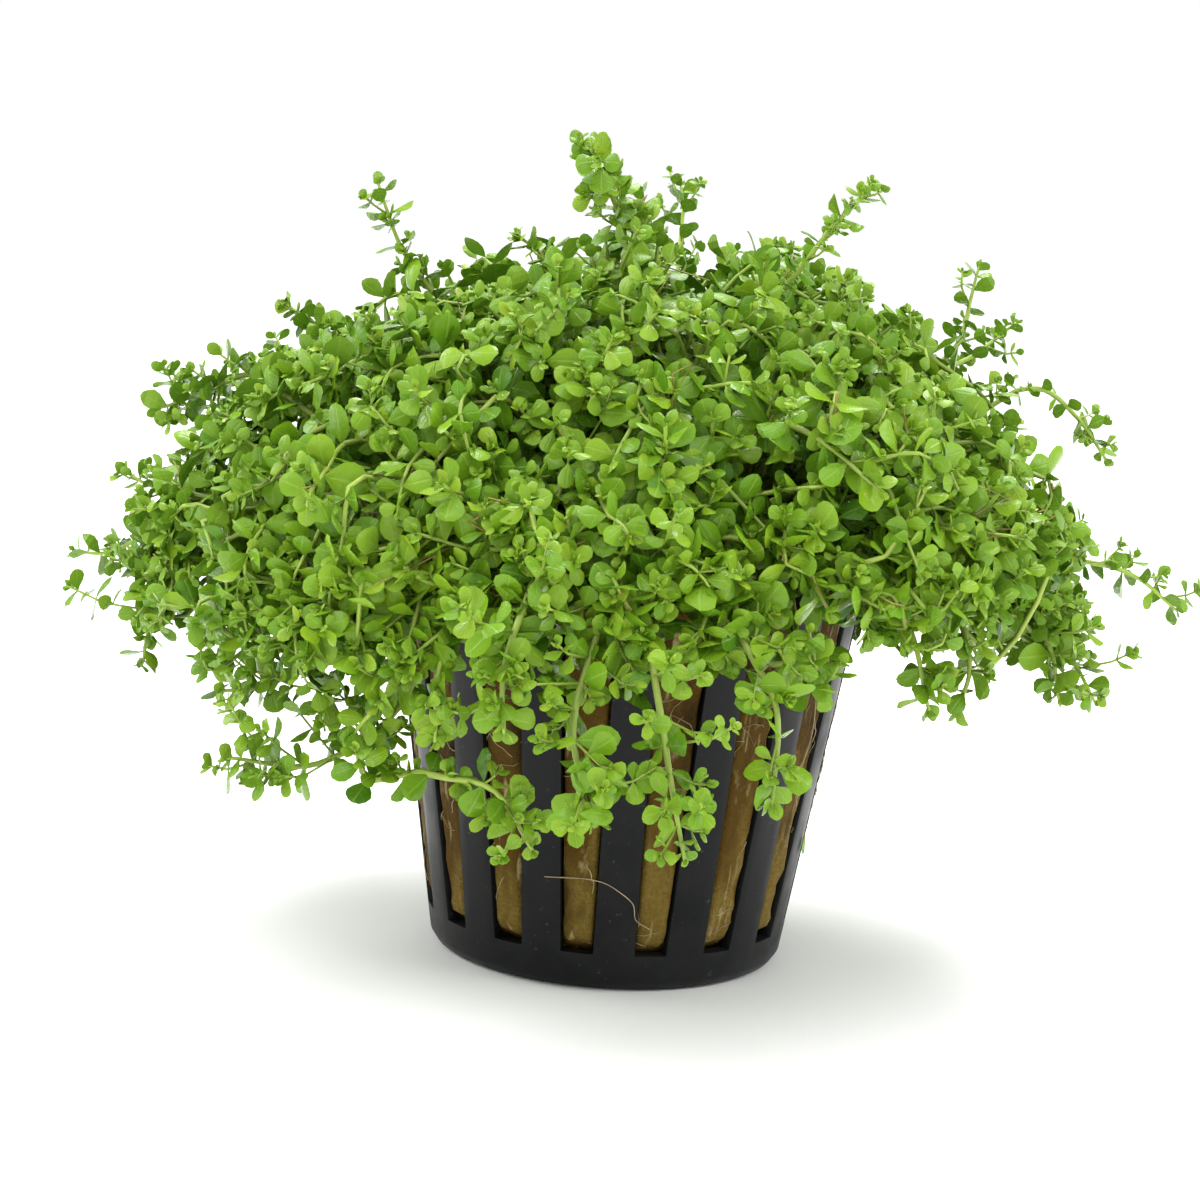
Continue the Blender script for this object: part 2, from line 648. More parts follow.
def make_pot():
    pot = mesh_object("moulded_net_pot", sheet, pot_plastic)
    wall = pot.modifiers.new("wall", "SOLIDIFY")
    wall.thickness = WALL
    wall.offset = -1.0
    wall.use_even_offset = True
    edges = pot.modifiers.new("moulded edges", "BEVEL")
    edges.width = MOULDED_EDGE
    edges.segments = 2
    edges.limit_method = "ANGLE"
    edges.angle_limit = math.radians(ROUNDED_FROM)
    apply_modifiers(pot)
    bm = bmesh.new()
    bm.from_mesh(pot.data)
    add_lip(bm)
    bm.to_mesh(pot.data)
    bm.free()
    pot.data.shade_smooth()
    pot.data.set_sharp_from_angle(angle=math.radians(CREASED_FROM))
    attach(pot, ROOT)
    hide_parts("net_pot")
    return pot


pot = make_pot()
print("pot faces:", len(pot.data.polygons))

# %% [markdown]
# ## Growing meshes from arrays
# Leaves and stems are far too many for one object each, and a bmesh with a million faces is slow to
# fill. So each kind of shape is made as NumPy arrays for all its copies at once, and one function joins
# such batches into a mesh. A batch holds corner points, faces, and for each face corner the place in
# its own cell of the map that a texture bake would use.

# %% Join batches into one mesh
CELL_MARGIN = 0.06


def empty_batch():
    return {"points": [], "tone": [], "age": [], "rim": [], "faces": [], "shape": [], "cell": [], "cells": 0}


def add_faces(batch, corners, shape, local, cells, material):
    """Keep faces of one size: corner numbers, shape UVs, places in a cell, cell numbers, material."""
    batch["faces"].append((corners, material))
    batch["shape"].append(shape)
    batch["cell"].append((local, cells))


def bake_places(batch, local, cells):
    """Places on the bake's map: each cell is one square of a grid."""
    across = math.ceil(math.sqrt(batch["cells"]))
    corner = np.stack([cells % across, cells // across], axis=-1)
    inside = CELL_MARGIN + (1 - 2 * CELL_MARGIN) * local
    return (corner + inside) / across


def mesh_from_batch(name, batch, materials):
    mesh = bpy.data.meshes.new(name)
    points = np.concatenate(batch["points"])
    mesh.vertices.add(len(points))
    mesh.vertices.foreach_set("co", points.astype(np.float32).ravel())
    corners = np.concatenate([faces.ravel() for faces, _ in batch["faces"]])
    sizes = np.concatenate([np.full(len(faces), faces.shape[1]) for faces, _ in batch["faces"]])
    slots = np.concatenate([np.full(len(faces), slot) for faces, slot in batch["faces"]])
    mesh.loops.add(len(corners))
    mesh.loops.foreach_set("vertex_index", corners.astype(np.int32))
    mesh.polygons.add(len(sizes))
    starts = np.concatenate([[0], np.cumsum(sizes)[:-1]])
    mesh.polygons.foreach_set("loop_start", starts.astype(np.int32))
    mesh.polygons.foreach_set("material_index", slots.astype(np.int32))
    mesh.update(calc_edges=True)
    shape = np.concatenate([uv.reshape(-1, 2) for uv in batch["shape"]])
    spread = np.concatenate([bake_places(batch, *cell).reshape(-1, 2) for cell in batch["cell"]])
    for layer, places in (("leaf_shape", shape), ("OFBake", spread)):
        mesh.uv_layers.new(name=layer).uv.foreach_set("vector", places.astype(np.float32).ravel())
    for attribute in ("tone", "age"):
        values = np.concatenate(batch[attribute]).astype(np.float32)
        mesh.attributes.new(attribute, "FLOAT", "POINT").data.foreach_set("value", values)
    mesh.shade_smooth()
    mark_rims(mesh, np.concatenate(batch["rim"]))
    for material in materials:
        mesh.materials.append(material)
    obj = bpy.data.objects.new(name, mesh)
    bpy.context.scene.collection.objects.link(obj)
    return obj


def triangles(obj):
    """How many triangles an object's mesh has."""
    return sum(len(polygon.vertices) - 2 for polygon in obj.data.polygons)


def mark_rims(mesh, on_rim):
    """A leaf's upper and lower skin meet in a sharp edge, so each keeps its own smooth shading."""
    ends = np.empty(2 * len(mesh.edges), np.int32)
    mesh.edges.foreach_get("vertices", ends)
    sharp = on_rim[ends.reshape(-1, 2)].all(axis=1)
    mesh.attributes.new("sharp_edge", "BOOLEAN", "EDGE").data.foreach_set("value", sharp)


print("a batch keeps:", ", ".join(empty_batch()))

# %% [markdown]
# ## One leaf, many times
# A leaf is a thin closed lens: an upper and a lower skin that share their rim, on a short stalk. Its
# corners are given as `t` along the leaf and `v` across it. The outline tapers into the stalk and is
# widest past the middle. For each copy the flat shape is folded along the midvein, cupped, bent down
# towards its tip, rippled at its edge and twisted, each by its own amount. Small leaves and leaves deep
# in the tuft use a coarser pattern with a flat underside, so those are always domed.

# %% Lay out the leaf patterns
STALK_SHARE = 0.12
STALK_HALF_WIDTH = 0.05
MEAN_TAPER = 1.15
LEAF_THICKNESS = 0.24 * MM
LARGE_ROWS = (0.07, 0.20, 0.38, 0.60, 0.80, 0.94)
SMALL_ROWS = (0.11, 0.34, 0.66, 0.91)
TINY_ROWS = (0.17, 0.52, 0.87)
FIVE_COLUMNS = (-1.0, -0.55, 0.0, 0.55, 1.0)
THREE_COLUMNS = (-1.0, 0.0, 1.0)
TWO_COLUMNS = (-1.0, 1.0)
BLADE_ROUNDNESS = 0.60


def half_width(t, taper=MEAN_TAPER):
    """Half the blade's width at a place along the leaf, as a share of its full width."""
    blade = np.clip((t - STALK_SHARE) / (1 - STALK_SHARE), 0.0, 1.0)
    return np.maximum(STALK_HALF_WIDTH, 0.5 * np.sin(math.pi * blade**taper) ** BLADE_ROUNDNESS)


def leaf_pattern(rows, upper_columns, lower_columns):
    """Corners (t, v, side) of a leaf, and its faces as corner numbers with their side."""
    corners = [(0.0, 0.0, 0), (1.0, 0.0, 0)]
    base, tip = 0, 1
    rim = {}
    for row, t in enumerate(rows):
        for v in (-1.0, 1.0):
            rim[row, v] = len(corners)
            corners.append((t, v, 0))
    faces = []
    for side, columns in ((1, upper_columns), (-1, lower_columns)):
        grid = []
        for row, t in enumerate(rows):
            line = [rim[row, -1.0]]
            for v in columns[1:-1]:
                line.append(len(corners))
                corners.append((t, v, side))
            line.append(rim[row, 1.0])
            grid.append(line if side > 0 else line[::-1])
        for column in range(len(columns) - 1):
            faces.append(((base, grid[0][column], grid[0][column + 1]), side))
            faces.append(((grid[-1][column], tip, grid[-1][column + 1]), side))
            for low, high in zip(grid, grid[1:]):
                faces.append(((low[column], high[column], high[column + 1], low[column + 1]), side))
    return np.array(corners), faces


large_leaf = leaf_pattern(LARGE_ROWS, FIVE_COLUMNS, THREE_COLUMNS)
round_leaf = leaf_pattern(LARGE_ROWS, THREE_COLUMNS, TWO_COLUMNS)
small_leaf = leaf_pattern(SMALL_ROWS, THREE_COLUMNS, TWO_COLUMNS)
tiny_leaf = leaf_pattern(TINY_ROWS, THREE_COLUMNS, TWO_COLUMNS)
print("corners of the four leaves:", [len(leaf[0]) for leaf in (large_leaf, round_leaf, small_leaf, tiny_leaf)])

# %% [markdown]
# ## Placing the copies
# No two leaves on the plant are alike. A leaf's own length, width, fold and bend could be set with
# modifiers, one object at a time. Here they are columns of numbers, and one sum over all of them gives
# every corner of every copy. Upper and lower skins get their own stretch of the bake's map.

# %% Shape and place all leaves of one pattern
LEAF_FIELDS = (
    "origin", "along", "normal", "length", "width", "taper", "fold", "cup", "bend", "twist", "ripple",
    "phase", "tone", "age",
)
RIPPLES = 1.7
UPPER_SKIN_END = 0.62
LOWER_SKIN_START = 0.66
LOWER_SKIN_WIDTH = 0.6


def add_leaves(batch, pattern, leaves):
    """Add one copy of the pattern for each leaf, given as a dictionary of the fields above."""
    if not leaves:
        return
    corners, faces = pattern
    field = {name: np.array([leaf[name] for leaf in leaves]) for name in LEAF_FIELDS}
    t, v, side = corners.T
    single = {name: field[name][:, None] for name in LEAF_FIELDS[3:]}
    reach = v * half_width(t, single["taper"]) * 2
    x = single["length"] * t * (1 - (single["bend"] * t) ** 2 / 6)
    y = reach * 0.5 * single["width"]
    z = side * 0.5 * LEAF_THICKNESS * np.sqrt(np.clip(1.02 - v**2, 0, 1))
    z = z + single["fold"] * np.abs(y) + single["cup"] * y**2 / single["width"]
    z = z - single["length"] * single["bend"] * t**2 / 2 + single["twist"] * t * y
    wave = np.sin(2 * math.pi * (RIPPLES * t + single["phase"] * np.sign(v)))
    z = z + single["ripple"] * single["length"] * np.abs(v) * t * wave
    across = np.cross(field["normal"], field["along"])
    points = (
        field["origin"][:, None]
        + x[..., None] * field["along"][:, None]
        + y[..., None] * across[:, None]
        + z[..., None] * field["normal"][:, None]
    )
    start = sum(len(points) for points in batch["points"])
    firsts = start + np.arange(len(leaves)) * len(corners)
    cells = batch["cells"] + np.arange(len(leaves))
    batch["points"].append(points.reshape(-1, 3))
    batch["tone"].append(np.repeat(field["tone"], len(corners)))
    batch["age"].append(np.repeat(field["age"], len(corners)))
    batch["rim"].append(np.tile(side == 0, len(leaves)))
    batch["cells"] += len(leaves)
    for size in (3, 4):
        group = [(face, side) for face, side in faces if len(face) == size]
        numbers = np.array([face for face, _ in group])
        below = np.array([side < 0 for _, side in group])[:, None]
        shape = np.stack([t[numbers], 0.5 + 0.499 * v[numbers] + below], axis=-1)
        lower_along = LOWER_SKIN_START + (1 - LOWER_SKIN_START) * t[numbers]
        local_along = np.where(below, lower_along, UPPER_SKIN_END * t[numbers])
        local_across = 0.5 + v[numbers] * half_width(t[numbers]) * np.where(below, LOWER_SKIN_WIDTH, 1.0)
        local = np.stack([local_along, local_across], axis=-1)
        repeat = (len(leaves), 1, 1, 1)
        add_faces(
            batch,
            (firsts[:, None, None] + numbers).reshape(-1, size),
            np.tile(shape, repeat).reshape(-1, size, 2),
            np.tile(local, repeat).reshape(-1, size, 2),
            np.repeat(cells, len(group))[:, None] * np.ones(size, int),
            0,
        )


print("a leaf is described by", len(LEAF_FIELDS), "fields")

# %% [markdown]
# ## Stems as tubes
# A stem bends softly and never kinks. Its line is either one cubic curve, for a stem that only has to
# get from the rockwool to its tip, or a smooth line through chosen points, for one that follows a known
# route.

# %% Draw smooth lines
def curved_line(a, b, c, d, count=28):
    """Points along a cubic curve from a to d, drawn towards b and c on the way."""
    t = np.linspace(0, 1, count)[:, None]
    a, b, c, d = (np.array(point) for point in (a, b, c, d))
    return a * (1 - t) ** 3 + 3 * b * t * (1 - t) ** 2 + 3 * c * t**2 * (1 - t) + d * t**3


def smooth_through(points, per_span=10):
    """A smooth line through all the points."""
    points = [np.array(point) for point in points]
    padded = [2 * points[0] - points[1], *points, 2 * points[-1] - points[-2]]
    line = []
    for before, a, b, after in zip(padded, padded[1:], padded[2:], padded[3:]):
        for t in np.arange(per_span) / per_span:
            line.append(0.5 * (2 * a + (b - before) * t + (2 * before - 5 * a + 4 * b - after) * t**2
                               + (3 * a - before - 3 * b + after) * t**3))
    line.append(points[-1])
    return np.array(line)


def unit(vector):
    return vector / np.linalg.norm(vector, axis=-1, keepdims=True)


def side_directions(line):
    """Tangents of a line, and at each point one side direction that doesn't twist."""
    tangents = unit(np.gradient(line, axis=0))
    helper = np.array([0.0, 0.0, 1.0]) if abs(tangents[0][2]) < 0.9 else np.array([1.0, 0.0, 0.0])
    side = unit(np.cross(tangents[0], helper))
    sides = []
    for tangent in tangents:
        side = unit(side - tangent * side.dot(tangent))
        sides.append(side)
    return tangents, np.array(sides)


print("a smooth line through four points has", len(smooth_through(np.eye(4, 3))), "points")

# %% [markdown]
# ## A tube along a line
# Curve objects with a bevel would make round stems too, but hundreds of them are slow to turn into
# meshes. So a stem is a closed tube in the same batch as its leaves, with its own radius at each point.
# The rings are carried along the line without twisting, by turning the last ring's side direction just
# enough.

# %% Make a tube
def add_tube(batch, line, radii, tone, ages, corners, material):
    """Add a closed tube: a radius and an age for each point of its line, one tone for all of it."""
    tangents, sides = side_directions(line)
    others = np.cross(tangents, sides)
    turn = 2 * math.pi * np.arange(corners) / corners
    ring = np.cos(turn)[:, None] * sides[:, None] + np.sin(turn)[:, None] * others[:, None]
    points = line[:, None] + np.asarray(radii)[:, None, None] * ring
    count = len(line)
    start = sum(len(points) for points in batch["points"])
    ends = np.array([line[0] - tangents[0] * radii[0] * 0.6, line[-1] + tangents[-1] * radii[-1] * 0.8])
    batch["points"].append(np.concatenate([points.reshape(-1, 3), ends]))
    batch["tone"].append(np.full(count * corners + 2, tone))
    batch["age"].append(np.concatenate([np.repeat(ages, corners), [ages[0], ages[-1]]]))
    batch["rim"].append(np.zeros(count * corners + 2, bool))
    row, column = np.meshgrid(np.arange(count - 1), np.arange(corners), indexing="ij")
    row, column = row.ravel(), column.ravel()
    after = (column + 1) % corners
    quads = start + np.stack(
        [row * corners + column, row * corners + after, (row + 1) * corners + after, (row + 1) * corners + column],
        axis=-1,
    )
    low, high = row / (count - 1), (row + 1) / (count - 1)
    left, right = column / corners, (column + 1) / corners
    local = np.stack([np.stack([low, left], -1), np.stack([low, right], -1),
                      np.stack([high, right], -1), np.stack([high, left], -1)], axis=1)
    cell = batch["cells"]
    add_faces(batch, quads, local, local, np.full(quads.shape, cell), material)
    around = np.arange(corners)
    following = (around + 1) % corners
    foot, top = start + count * corners, start + count * corners + 1
    last_ring = start + (count - 1) * corners
    caps = np.concatenate([
        np.stack([np.full(corners, foot), start + following, start + around], axis=-1),
        np.stack([np.full(corners, top), last_ring + around, last_ring + following], axis=-1),
    ])
    flat = np.zeros((2 * corners, 3, 2)) + np.array([0.02, 0.5])
    flat[:, 1, 1] = 0.4
    flat[:, 2, 0] = 0.04
    add_faces(batch, caps, flat, flat, np.full(caps.shape, cell), material)
    batch["cells"] += 1


print("each tube takes one cell of the bake's map, as each leaf does")

# %% [markdown]
# ## The rockwool
# The plug is one soft block that fills the cup. It presses into each slot between the ribs until it is
# nearly flush with them. A plain cylinder would leave a black gap there, so the skin is turned with a
# radius that swells in the slots, and its columns stand closest at the ribs' sides, where it turns
# sharply.

# %% Describe the plug's skin
WOOL_ROWS = 48
WOOL_CLEARANCE = 0.3 * MM
WOOL_BULGE = 1.5 * MM
WOOL_SHOULDER = ((0.05, 0.0), (0.10, 0.55), (0.35, 0.88), (0.80, 1.0))
BEHIND_RIB = (-0.8, 0.0, 0.8)
ACROSS_SLOT = 9
WOOL_END = 1.5 * MM
WOOL_LOWER_EDGE = 5.0 * MM


def in_slot_share(azimuth, height):
    """0 behind a rib, rising to 1 over the wool's shoulder, given as (mm from the rib's side, share)."""
    off = ((azimuth - RIB_PHASE) / (360 / RIB_COUNT)) % 1.0
    from_rib = min(off, 1.0 - off) * 2 * math.pi * pot_radius(height) / RIB_COUNT - 0.5 * RIB_WIDTH
    return float(np.interp(from_rib / MM, *zip(*WOOL_SHOULDER)))


def wool_azimuths(height):
    """Where the skin's columns stand at a height: behind the ribs, at their sides and across the slots."""
    radius = pot_radius(height)
    pitch = 2 * math.pi * radius / RIB_COUNT
    beside = [0.5 * RIB_WIDTH + step * MM for step, _ in WOOL_SHOULDER]
    across = np.linspace(beside[-1], pitch - beside[-1], ACROSS_SLOT + 2)[1:-1]
    offsets = [0.5 * RIB_WIDTH * share for share in BEHIND_RIB]
    offsets += beside + list(across) + [pitch - offset for offset in reversed(beside)]
    return [
        RIB_PHASE + 360 * rib / RIB_COUNT + math.degrees(offset / radius)
        for rib in range(RIB_COUNT)
        for offset in offsets
    ]


def wool_radius(azimuth, height):
    """Radius of the plug's skin: the cup's inside, swelling into the slots, rounded off at the foot."""
    radius = pot_radius(height) - WALL - WOOL_CLEARANCE
    in_slot = in_slot_share(azimuth, height) if SLOT_LOW < height < SLOT_HIGH else 0.0
    near_end = min(1.0, (height - SLOT_LOW) / WOOL_END, (SLOT_HIGH - height) / WOOL_END)
    radius += WOOL_BULGE * in_slot * max(0.0, near_end)
    up = (height - plug_low.z) / WOOL_LOWER_EDGE
    if up < 1.0:
        radius -= WOOL_LOWER_EDGE * (1 - math.sqrt(max(0.0, 1 - (1 - up) ** 2)))
    return radius


print("columns round the plug:", len(wool_azimuths(PLUG_TOP)))

# %% [markdown]
# ## The felted skin
# Cut rockwool is lumpy and felted. A bump in the material can't change its outline, so the skin itself
# is pushed in and out by noise at two sizes.

# %% Make the rockwool
WOOL_ROUGHNESS = 0.30 * MM
LUMP_SIZE = 2.6 * MM
FELT_SIZE = 0.9 * MM


def make_rockwool():
    bm = bmesh.new()
    rows = []
    for row in range(WOOL_ROWS + 1):
        height = plug_low.z + (PLUG_TOP - plug_low.z) * row / WOOL_ROWS
        ring = []
        for azimuth in wool_azimuths(height):
            point = place(azimuth, wool_radius(azimuth, height), height)
            rough = noise.noise(point / LUMP_SIZE) + 0.6 * noise.noise(point / FELT_SIZE)
            inwards = place(azimuth, 1.0, 0.0)
            ring.append(bm.verts.new(point - inwards * WOOL_ROUGHNESS * (0.9 + rough)))
        rows.append(ring)
    columns = len(rows[0])
    for low, high in zip(rows, rows[1:]):
        for column in range(columns):
            after = (column + 1) % columns
            bm.faces.new((low[column], low[after], high[after], high[column]))
    for ring, height in ((rows[0], plug_low.z), (rows[-1], PLUG_TOP)):
        middle = bm.verts.new((0, 0, height))
        for column in range(columns):
            bm.faces.new((middle, ring[column], ring[(column + 1) % columns]))
    bmesh.ops.recalc_face_normals(bm, faces=bm.faces[:])
    wool = mesh_object("felted_rockwool", bm, rockwool)
    wool.data.shade_smooth()
    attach(wool, ROOT)
    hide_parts("rockwool_plug")
    return wool


wool = make_rockwool()
print("rockwool faces:", len(wool.data.polygons))

# %% [markdown]
# ## Loose fibres
# Single straw-coloured fibres lie on the wet wool. Each is a very thin tube that wanders over the skin.
# Drawn into the material they would look printed, because real ones cast a small shadow.

# %% Lay loose fibres on it
FIBRE_COUNT = 320
FIBRE_POINTS = 9
FIBRE_STEP = 0.45
FIBRE_RADII = (0.03, 0.06)
FIBRE_HEIGHTS = (4, 44)


def make_fibres():
    """Short fibres that wander over the skin, lifted off it in the middle."""
    dice = np.random.default_rng([SEED, 1])
    batch = empty_batch()
    for _ in range(FIBRE_COUNT):
        azimuth, height = dice.uniform(0, 360), dice.uniform(*FIBRE_HEIGHTS) * MM
        heading = dice.normal(90, 40)
        line = []
        for step in range(FIBRE_POINTS):
            lift = (0.10 + 0.22 * math.sin(math.pi * step / (FIBRE_POINTS - 1))) * MM
            line.append(place(azimuth, wool_radius(azimuth, height) - 0.25 * MM + lift, height))
            heading += dice.normal(0, 16)
            azimuth += FIBRE_STEP * math.cos(math.radians(heading)) * 2.4
            height += FIBRE_STEP * MM * math.sin(math.radians(heading))
            height = min(max(height, 3.5 * MM), 45 * MM)
        radii = np.full(FIBRE_POINTS, dice.uniform(*FIBRE_RADII) * MM)
        add_tube(batch, np.array(line), radii, 0.5, np.zeros(FIBRE_POINTS), 3, 0)
    fibres = mesh_from_batch("rockwool_fibres", batch, [fibre_straw])
    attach(fibres, ROOT)
    return fibres


fibres = make_fibres()
print("fibre faces:", len(fibres.data.polygons))

# %% [markdown]
# ## How a leaf sits on its stem
# A leaf leaves its stem sideways, leans forward along it and turns its face towards the light, and none
# does so quite like the next. A leaf set square to its stem would look like a paddle, so its directions
# are sums of these wishes with a little chance in each.

# %% Turn a leaf to the light
DOMED_BELOW = 3.6 * MM
LEAF_WIDTHS = (0.56, 0.86)
LEAF_TAPERS = (1.0, 1.4)
LEAF_BENDS = (-0.2, 0.8)
STRAY_HEADING = 0.16
STRAY_FACING = 0.30


def leaf_at(origin, stem, side, light, lean, length, age, dice):
    """One leaf that leaves the stem on the given side."""
    lean = math.radians(lean)
    along = unit(side * math.cos(lean) + stem * math.sin(lean) + light * 0.15 + dice.normal(0, STRAY_HEADING, 3))
    normal = stem * math.cos(lean) - side * math.sin(lean)
    facing = normal * dice.uniform(0.2, 1.0) + light * dice.uniform(0.4, 1.1)
    facing = facing + dice.normal(0, STRAY_FACING, 3)
    facing = unit(facing - along * facing.dot(along))
    return {
        "origin": origin,
        "along": along,
        "normal": facing,
        "length": length,
        "width": length * dice.uniform(*LEAF_WIDTHS),
        "taper": dice.uniform(*LEAF_TAPERS),
        "fold": dice.uniform(-0.12, 0.0 if length < DOMED_BELOW else 0.14),
        "cup": dice.uniform(-0.8, 0.0 if length < DOMED_BELOW else 0.35),
        "bend": dice.uniform(*LEAF_BENDS),
        "twist": dice.normal(0, 0.25),
        "ripple": dice.uniform(0.0, 0.05),
        "phase": dice.random(),
        "tone": dice.random(),
        "age": age,
    }


print("a leaf's width is from", LEAF_WIDTHS[0], "to", LEAF_WIDTHS[1], "of its length")

# %% [markdown]
# ## How a sprig grows
# A sprig is one stem with leaves in opposite pairs, each pair turned a quarter from the one before.
# At the tip the pairs sit close together as a small rosette; further back they are larger and a few
# millimetres apart. A sprig could be modelled once and copied, but the copies would show. Rules like
# these, each with some chance in it, give thousands of sprigs that look grown and never repeat.

# %% Grow leaves along a stem
PAIR_STEPS = (0.2, 0.5, 0.95, 1.5, 2.0, 2.5, 2.9, 3.2, 3.4, 3.6, 3.8, 4.0, 4.1, 4.2)
PAIR_SIZES = (0.36, 0.62, 0.86, 0.98, 1.03, 1.05, 1.02, 0.98, 0.94, 0.9, 0.87, 0.84, 0.81, 0.78)
PAIR_SPACING = (0.8, 1.45)
PAIR_SCATTER = (0.8, 1.25)
LEAF_LENGTH = 3.9 * MM
LEAF_LENGTHS = (0.80, 1.14)
TIP_LEAN = 60.0
LEAN_PER_PAIR = 13.0
LEAST_LEAN = 8.0
LEAN_SCATTER = 11
GROWN_AT = 22 * MM
AGE_SCATTER = (-0.10, 0.22)


def line_lengths(line):
    """How far along a line each of its points lies."""
    steps = np.linalg.norm(np.diff(line, axis=0), axis=1)
    return np.concatenate([[0.0], np.cumsum(steps)])


def at_distance(line, lengths, distance):
    return np.array([np.interp(distance, lengths, line[:, axis]) for axis in range(3)])


def pair_leaves(line, light, size, leafy, pairs, dice):
    """Leaves of one stem from its tip back, and its joints as (pair, origin, stem, outward)."""
    lengths = line_lengths(line)
    tangents, sides = side_directions(line)
    leaves, joints = [], []
    distance, turn = 0.0, dice.uniform(0, math.pi)
    spacing = dice.uniform(*PAIR_SPACING) * size
    for pair, (step, share) in enumerate(zip(PAIR_STEPS[:pairs], PAIR_SIZES)):
        distance += step * MM * spacing * dice.uniform(*PAIR_SCATTER)
        if distance > leafy:
            break
        at = lengths[-1] - distance
        origin = at_distance(line, lengths, at)
        stem = unit(at_distance(tangents, lengths, at))
        side = unit(at_distance(sides, lengths, at))
        other = np.cross(stem, side)
        turn += math.pi / 2 + dice.normal(0, 0.3)
        lean = max(LEAST_LEAN, TIP_LEAN - LEAN_PER_PAIR * pair) + dice.normal(0, LEAN_SCATTER)
        age = min(1.0, 0.02 + distance / GROWN_AT) + dice.uniform(*AGE_SCATTER)
        for half in (0, math.pi):
            out = side * math.cos(turn + half) + other * math.sin(turn + half)
            length = LEAF_LENGTH * share * size * dice.uniform(*LEAF_LENGTHS)
            leaves.append(leaf_at(origin, stem, out, light, lean, length, age, dice))
            joints.append((pair, origin, stem, out))
    return leaves, joints


print("pairs on a full sprig:", len(PAIR_STEPS))

# %% [markdown]
# ## Side shoots and the stem itself
# Out of some leaf joints grows a side shoot with smaller leaves, the longer the more pairs. It follows
# the same rules as a whole sprig, so the same function grows it. The stem is thin and pale at its tip
# and gets thicker and older on the way down.

# %% Add side shoots and stems
FIRST_SHOOT_PAIR = 3
SHOOT_PER_PAIR = 2.2 * MM
SHOOT_SIZE = 0.74
SHOOT_RADIUS = 0.15 * MM
SHORTEST_SHOOT = 0.7 * MM
STEM_TIP_RADIUS = 0.18
STEM_THICKENING = 0.17
FULL_THICKNESS_AT = 12 * MM
OLD_STEM_AT = 34 * MM


def add_sprig(batch, line, light, size, leafy, shoots, dice):
    """Add side shoots, given as (chance, longest), and return all leaves of the sprig and its shoots."""
    chance, longest = shoots
    leafy = min(leafy, line_lengths(line)[-1] - 2 * MM)
    leaves, joints = pair_leaves(line, light, size, leafy, len(PAIR_STEPS), dice)
    for pair, origin, stem, out in joints:
        if pair < FIRST_SHOOT_PAIR or dice.random() > chance:
            continue
        reach = dice.uniform(SHORTEST_SHOOT, longest)
        heading = unit(out * 0.7 + stem * 0.5 + light * 0.3 + dice.normal(0, 0.35, 3))
        end = origin + heading * reach + light * 0.3 * reach
        shoot = curved_line(origin, origin + heading * 0.5 * reach, end - light * 0.25 * reach, end, 3)
        add_tube(batch, shoot, np.full(3, SHOOT_RADIUS), dice.random(), np.full(3, 0.25), 3, 1)
        size_of_shoot = SHOOT_SIZE * size * dice.uniform(0.8, 1.2)
        pairs = 2 + round(reach / SHOOT_PER_PAIR)
        leaves += pair_leaves(shoot, light, size_of_shoot, reach, pairs, dice)[0]
    return leaves


def add_stem(batch, line, size, rings, corners, dice):
    """The stem of a sprig: thin at its tip, thicker and older towards its root."""
    lengths = line_lengths(line)
    distances = lengths[-1] * np.linspace(0, 1, rings) ** 0.5
    points = np.array([at_distance(line, lengths, distance) for distance in distances])
    from_tip = lengths[-1] - distances
    thickening = STEM_THICKENING * np.minimum(1.0, from_tip / FULL_THICKNESS_AT)
    thick = (STEM_TIP_RADIUS + thickening) * MM * (0.5 + 0.5 * size)
    ages = np.minimum(1.3, from_tip / OLD_STEM_AT)
    add_tube(batch, points, thick, dice.random(), ages, corners, 1)


def add_foliage(batch, leaves, patterns):
    """Add leaves, each in the pattern for its size; patterns are (smallest length, pattern)."""
    beyond_all = (1.0, None)
    for (least, pattern), (limit, _) in zip(patterns, patterns[1:] + (beyond_all,)):
        add_leaves(batch, pattern, [leaf for leaf in leaves if least <= leaf["length"] < limit])


print("side shoots from leaf pair:", FIRST_SHOOT_PAIR)

# %% [markdown]
# ## Where the sprigs end
# The plant is a low dome that hangs over the pot's rim on all sides, further out in some directions
# than in others. A line down the outside of this crown, from its top over the edge and back underneath,
# is stretched to each tuft's own reach and turned round the pot. Tips spread evenly over its surface
# grow the crown to its form.

# %% Describe the crown
# Each outer tuft: first and last azimuth, then reach, lowest and highest height in millimetres.
TUFT_SECTORS = {
    "front": (-24, 21, 48.0, 37.0, 78.0),
    "front_right": (21, 67, 49.5, 40.0, 79.0),
    "right": (67, 111, 50.5, 35.5, 79.0),
    "back_right": (111, 158, 51.5, 35.5, 79.0),
    "back": (158, 202, 51.0, 34.0, 78.5),
    "back_left": (202, 249, 53.0, 33.0, 77.5),
    "left": (249, 292, 55.0, 34.5, 76.5),
    "front_left": (292, 336, 50.0, 34.0, 77.0),
}
CENTRE_RADIUS = 16.0 * MM
CENTRE_TOP = 82.0 * MM
CROWN_LINE = (
    (0.32, 1.00), (0.44, 0.95), (0.56, 0.89), (0.68, 0.79), (0.79, 0.665), (0.87, 0.56), (0.935, 0.44),
    (0.98, 0.34), (1.00, 0.23), (0.99, 0.15), (0.97, 0.08), (0.89, 0.00), (0.78, 0.10), (0.68, 0.20),
)
INSIDE = Vector((0, 0, 45 * MM))


